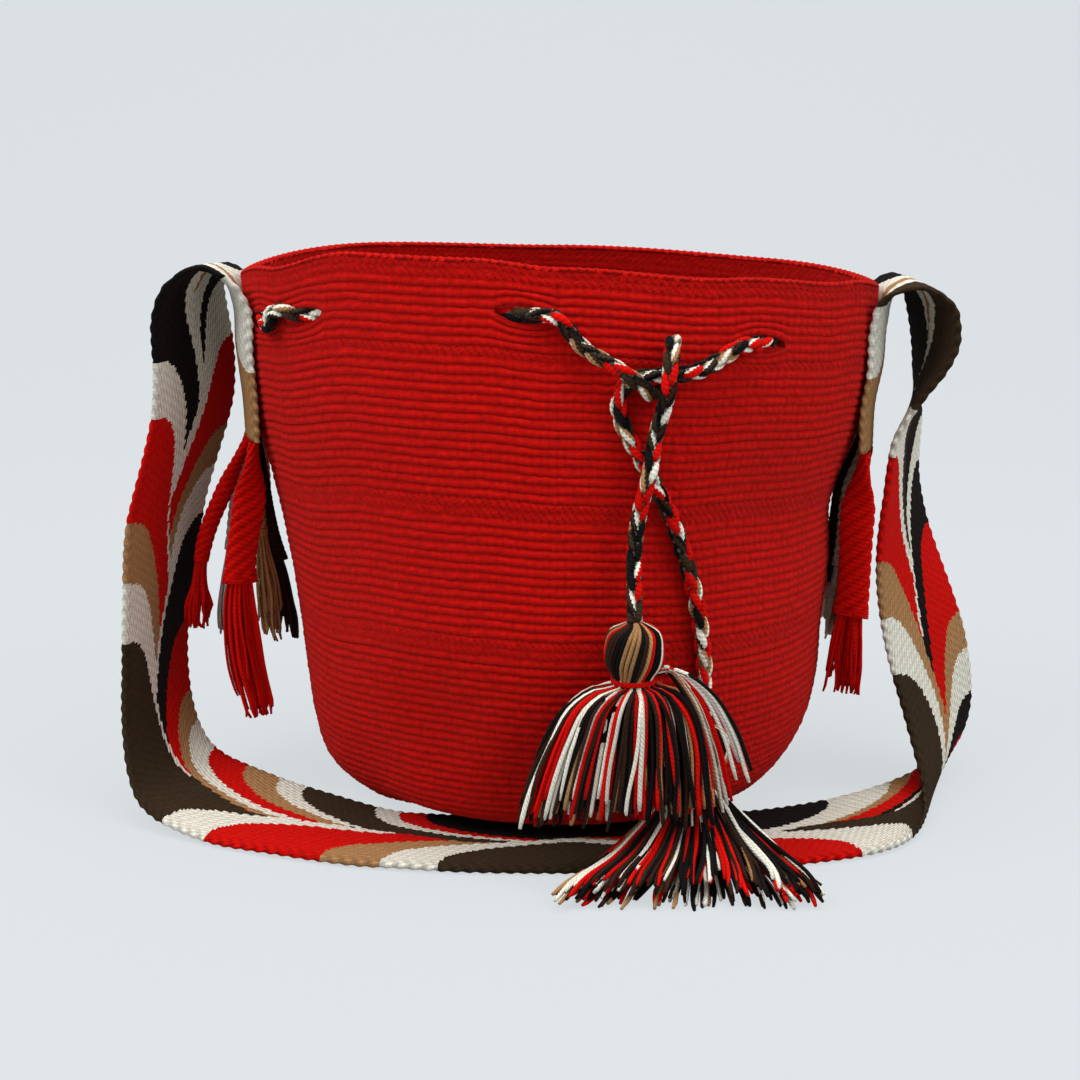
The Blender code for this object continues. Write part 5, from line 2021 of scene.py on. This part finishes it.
# how far to the right and down each stray yarn of the upper tassel ends, and its colour
UPPER_STRAYS = (
    (0.056, 0.044, Yarn.DARK), (0.055, 0.050, Yarn.CREAM), (0.049, 0.049, Yarn.CREAM),
    (0.045, 0.062, Yarn.CREAM), (0.043, 0.066, Yarn.CREAM), (0.050, 0.040, Yarn.MAUVE),
    (0.047, 0.060, Yarn.RED), (0.040, 0.055, Yarn.TAN), (0.038, 0.064, Yarn.BROWN),
    (0.036, 0.058, Yarn.DARK), (0.042, 0.046, Yarn.TAN), (0.044, 0.052, Yarn.RED),
)
LOWER_TIE = (-0.0047, -0.0065, -0.0272, 0.75)
UPPER_MIX = ((Yarn.DARK, 0.30), (Yarn.BROWN, 0.18), (Yarn.RED, 0.22), (Yarn.CREAM, 0.14), (Yarn.TAN, 0.16))
LOWER_MIX = ((Yarn.DARK, 0.36), (Yarn.BROWN, 0.18), (Yarn.RED, 0.18), (Yarn.CREAM, 0.16), (Yarn.TAN, 0.12))


# the room


@dataclass
class Studio:
    """The pale floor and backdrop, the soft lamps and the camera."""

    camera_place: tuple[float, float, float] = (-0.0103, -1.2, 0.44)
    look_down: float = 14.45
    focal_pixels: float = 2327.0
    photo_width: float = 1080.0
    sensor: float = 36.0
    backdrop_light: tuple[float, float, float] = (232, 238, 241)
    floor_colour: tuple[float, float, float] = (166, 169, 171)
    floor_roughness: float = 0.9
    floor_specular: float = 0.1
    # the share of the floor's paleness that is its own to the camera
    glow_share: float = 0.74
    world_colour: tuple[float, float, float] = (0.93, 0.97, 1.0)
    world_strength: float = 0.50
    floor_size: float = 8.0
    floor_middle: float = -1.5
    edge_reach: float = 0.1
    backdrop_height: float = 5.0
    floor_bend: float = 1.6
    # name, place, size in metres and power in watts
    lamps: tuple[tuple[str, tuple[float, float, float], float, float], ...] = (
        ("lamp_left", (-1.7, -0.8, 2.0), 1.4, 36.0),
        ("lamp_right", (1.7, -0.8, 1.6), 1.3, 21.0),
        ("lamp_top", (0.1, 0.0, 2.3), 1.6, 34.0),
    )
    lit_place: tuple[float, float, float] = (0, 0, 0.12)

    def make(self) -> None:
        """Builds the room."""
        scene = bpy.context.scene
        scene.view_settings.view_transform = "Standard"
        self.make_camera()
        self.make_floor()
        self.make_lamps()
        world = bpy.data.worlds.new("studio_light")
        scene.world = world
        world.use_nodes = True
        ground = world.node_tree.nodes["Background"]
        ground.inputs["Color"].default_value = (*self.world_colour, 1)
        ground.inputs["Strength"].default_value = self.world_strength

    def make_camera(self) -> None:
        """Places the camera as the photograph was taken."""
        lens = bpy.data.cameras.new("camera")
        lens.sensor_width = self.sensor
        lens.lens = self.focal_pixels / self.photo_width * self.sensor
        camera = bpy.data.objects.new("camera", lens)
        bpy.context.scene.collection.objects.link(camera)
        camera.location = self.camera_place
        camera.rotation_euler = (math.radians(90 - self.look_down), 0, 0)
        bpy.context.scene.camera = camera

    def make_floor(self) -> None:
        """Builds the floor and the backdrop as one sheet with a wide bend."""
        bpy.ops.object.select_all(action="DESELECT")
        bpy.ops.mesh.primitive_plane_add(size=self.floor_size, location=(0, self.floor_middle, 0))
        sheet = bpy.context.object
        sheet.name = "studio_floor"
        bpy.ops.object.mode_set(mode="EDIT")
        bpy.ops.mesh.select_mode(type="EDGE")
        bpy.ops.mesh.select_all(action="DESELECT")
        bpy.ops.object.mode_set(mode="OBJECT")
        rear = self.floor_size / 2 - self.edge_reach
        for edge in sheet.data.edges:
            ends = [sheet.data.vertices[index].co.y for index in edge.vertices]
            edge.select = min(ends) > rear
        bpy.ops.object.mode_set(mode="EDIT")
        bpy.ops.mesh.extrude_edges_move(TRANSFORM_OT_translate={"value": (0, 0, self.backdrop_height)})
        bpy.ops.mesh.select_all(action="DESELECT")
        bpy.ops.object.mode_set(mode="OBJECT")
        for edge in sheet.data.edges:
            spots = [sheet.data.vertices[index].co for index in edge.vertices]
            edge.select = all(abs(spot.z) < 1e-6 and spot.y > rear for spot in spots)
        bpy.ops.object.mode_set(mode="EDIT")
        bpy.ops.mesh.bevel(offset=self.floor_bend, segments=24, affect="EDGES")
        bpy.ops.object.mode_set(mode="OBJECT")
        sheet.data.shade_smooth()
        sheet.data.materials.append(self.floor_material())

    def floor_material(self) -> bpy.types.Material:
        """The floor: it takes the shadows, and part of its paleness is its own to the camera."""
        made = bpy.data.materials.new("pale_floor")
        made.use_nodes = True
        nodes, links = made.node_tree.nodes, made.node_tree.links
        shader = nodes["Principled BSDF"]
        shader.inputs["Base Color"].default_value = (*as_light(self.floor_colour), 1)
        shader.inputs["Roughness"].default_value = self.floor_roughness
        shader.inputs["Specular IOR Level"].default_value = self.floor_specular
        glow = nodes.new("ShaderNodeEmission")
        glow.inputs["Color"].default_value = (*as_light(self.backdrop_light), 1)
        rays = nodes.new("ShaderNodeLightPath")
        seen = maths(made.node_tree, "ADD", rays.outputs["Is Camera Ray"], rays.outputs["Is Glossy Ray"])
        seen.node.use_clamp = True
        mix = nodes.new("ShaderNodeMixShader")
        links.new(maths(made.node_tree, "MULTIPLY", seen, self.glow_share), mix.inputs["Fac"])
        links.new(shader.outputs["BSDF"], mix.inputs[1])
        links.new(glow.outputs["Emission"], mix.inputs[2])
        links.new(mix.outputs["Shader"], nodes["Material Output"].inputs["Surface"])
        return made

    def make_lamps(self) -> None:
        """Places the broad lamps: the key on the left in front, a weaker one on the right, one above."""
        for name, place, size, power in self.lamps:
            lamp = bpy.data.lights.new(name, "AREA")
            lamp.size = size
            lamp.energy = power
            made = bpy.data.objects.new(name, lamp)
            bpy.context.scene.collection.objects.link(made)
            made.location = place
            aim = Vector(self.lit_place) - Vector(place)
            made.rotation_euler = aim.to_track_quat("-Z", "Y").to_euler()


def main() -> None:
    """Builds the room and every piece of the bag."""
    logging.basicConfig(level=logging.INFO, format="%(name)s: %(message)s")
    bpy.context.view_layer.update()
    Studio().make()
    fibre, ply = fibre_group(), ply_group()
    crochet = CROCHET_COTTON.material(fibre, ply)
    weave = STRAP_COTTON.material(fibre, ply)
    twisted = TWISTED_COTTON.material(fibre, ply)

    cord = Drawstring()
    path = cord.path()
    drawstring = cord.make(path, twisted)
    ties = []
    upper = Tassel("tassel_upper", UPPER_SECTIONS, UPPER_TIE, 5, UPPER_MIX, strays=UPPER_STRAYS)
    lower = Tassel("tassel_lower", LOWER_SECTIONS, LOWER_TIE, 8, LOWER_MIX, skirt_yarns=240)
    for tassel, end, before in ((upper, path[0], path[9]), (lower, path[-1], path[-10])):
        ahead = unit(end - before)
        top = end - np.array([0, 0, FORM.clearance + cord.radius * math.hypot(ahead[0], ahead[1])])
        ties += tassel.make(top, twisted)

    strap = WovenStrap()
    band = strap.make(weave)
    fringe = StrapFringe(strap).make(twisted)
    band_length = float(reach_of(strap.frames()[0])[-1])

    for piece in CrochetWall().make(crochet):
        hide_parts("bag_body")


if __name__ == "__main__":
    main()
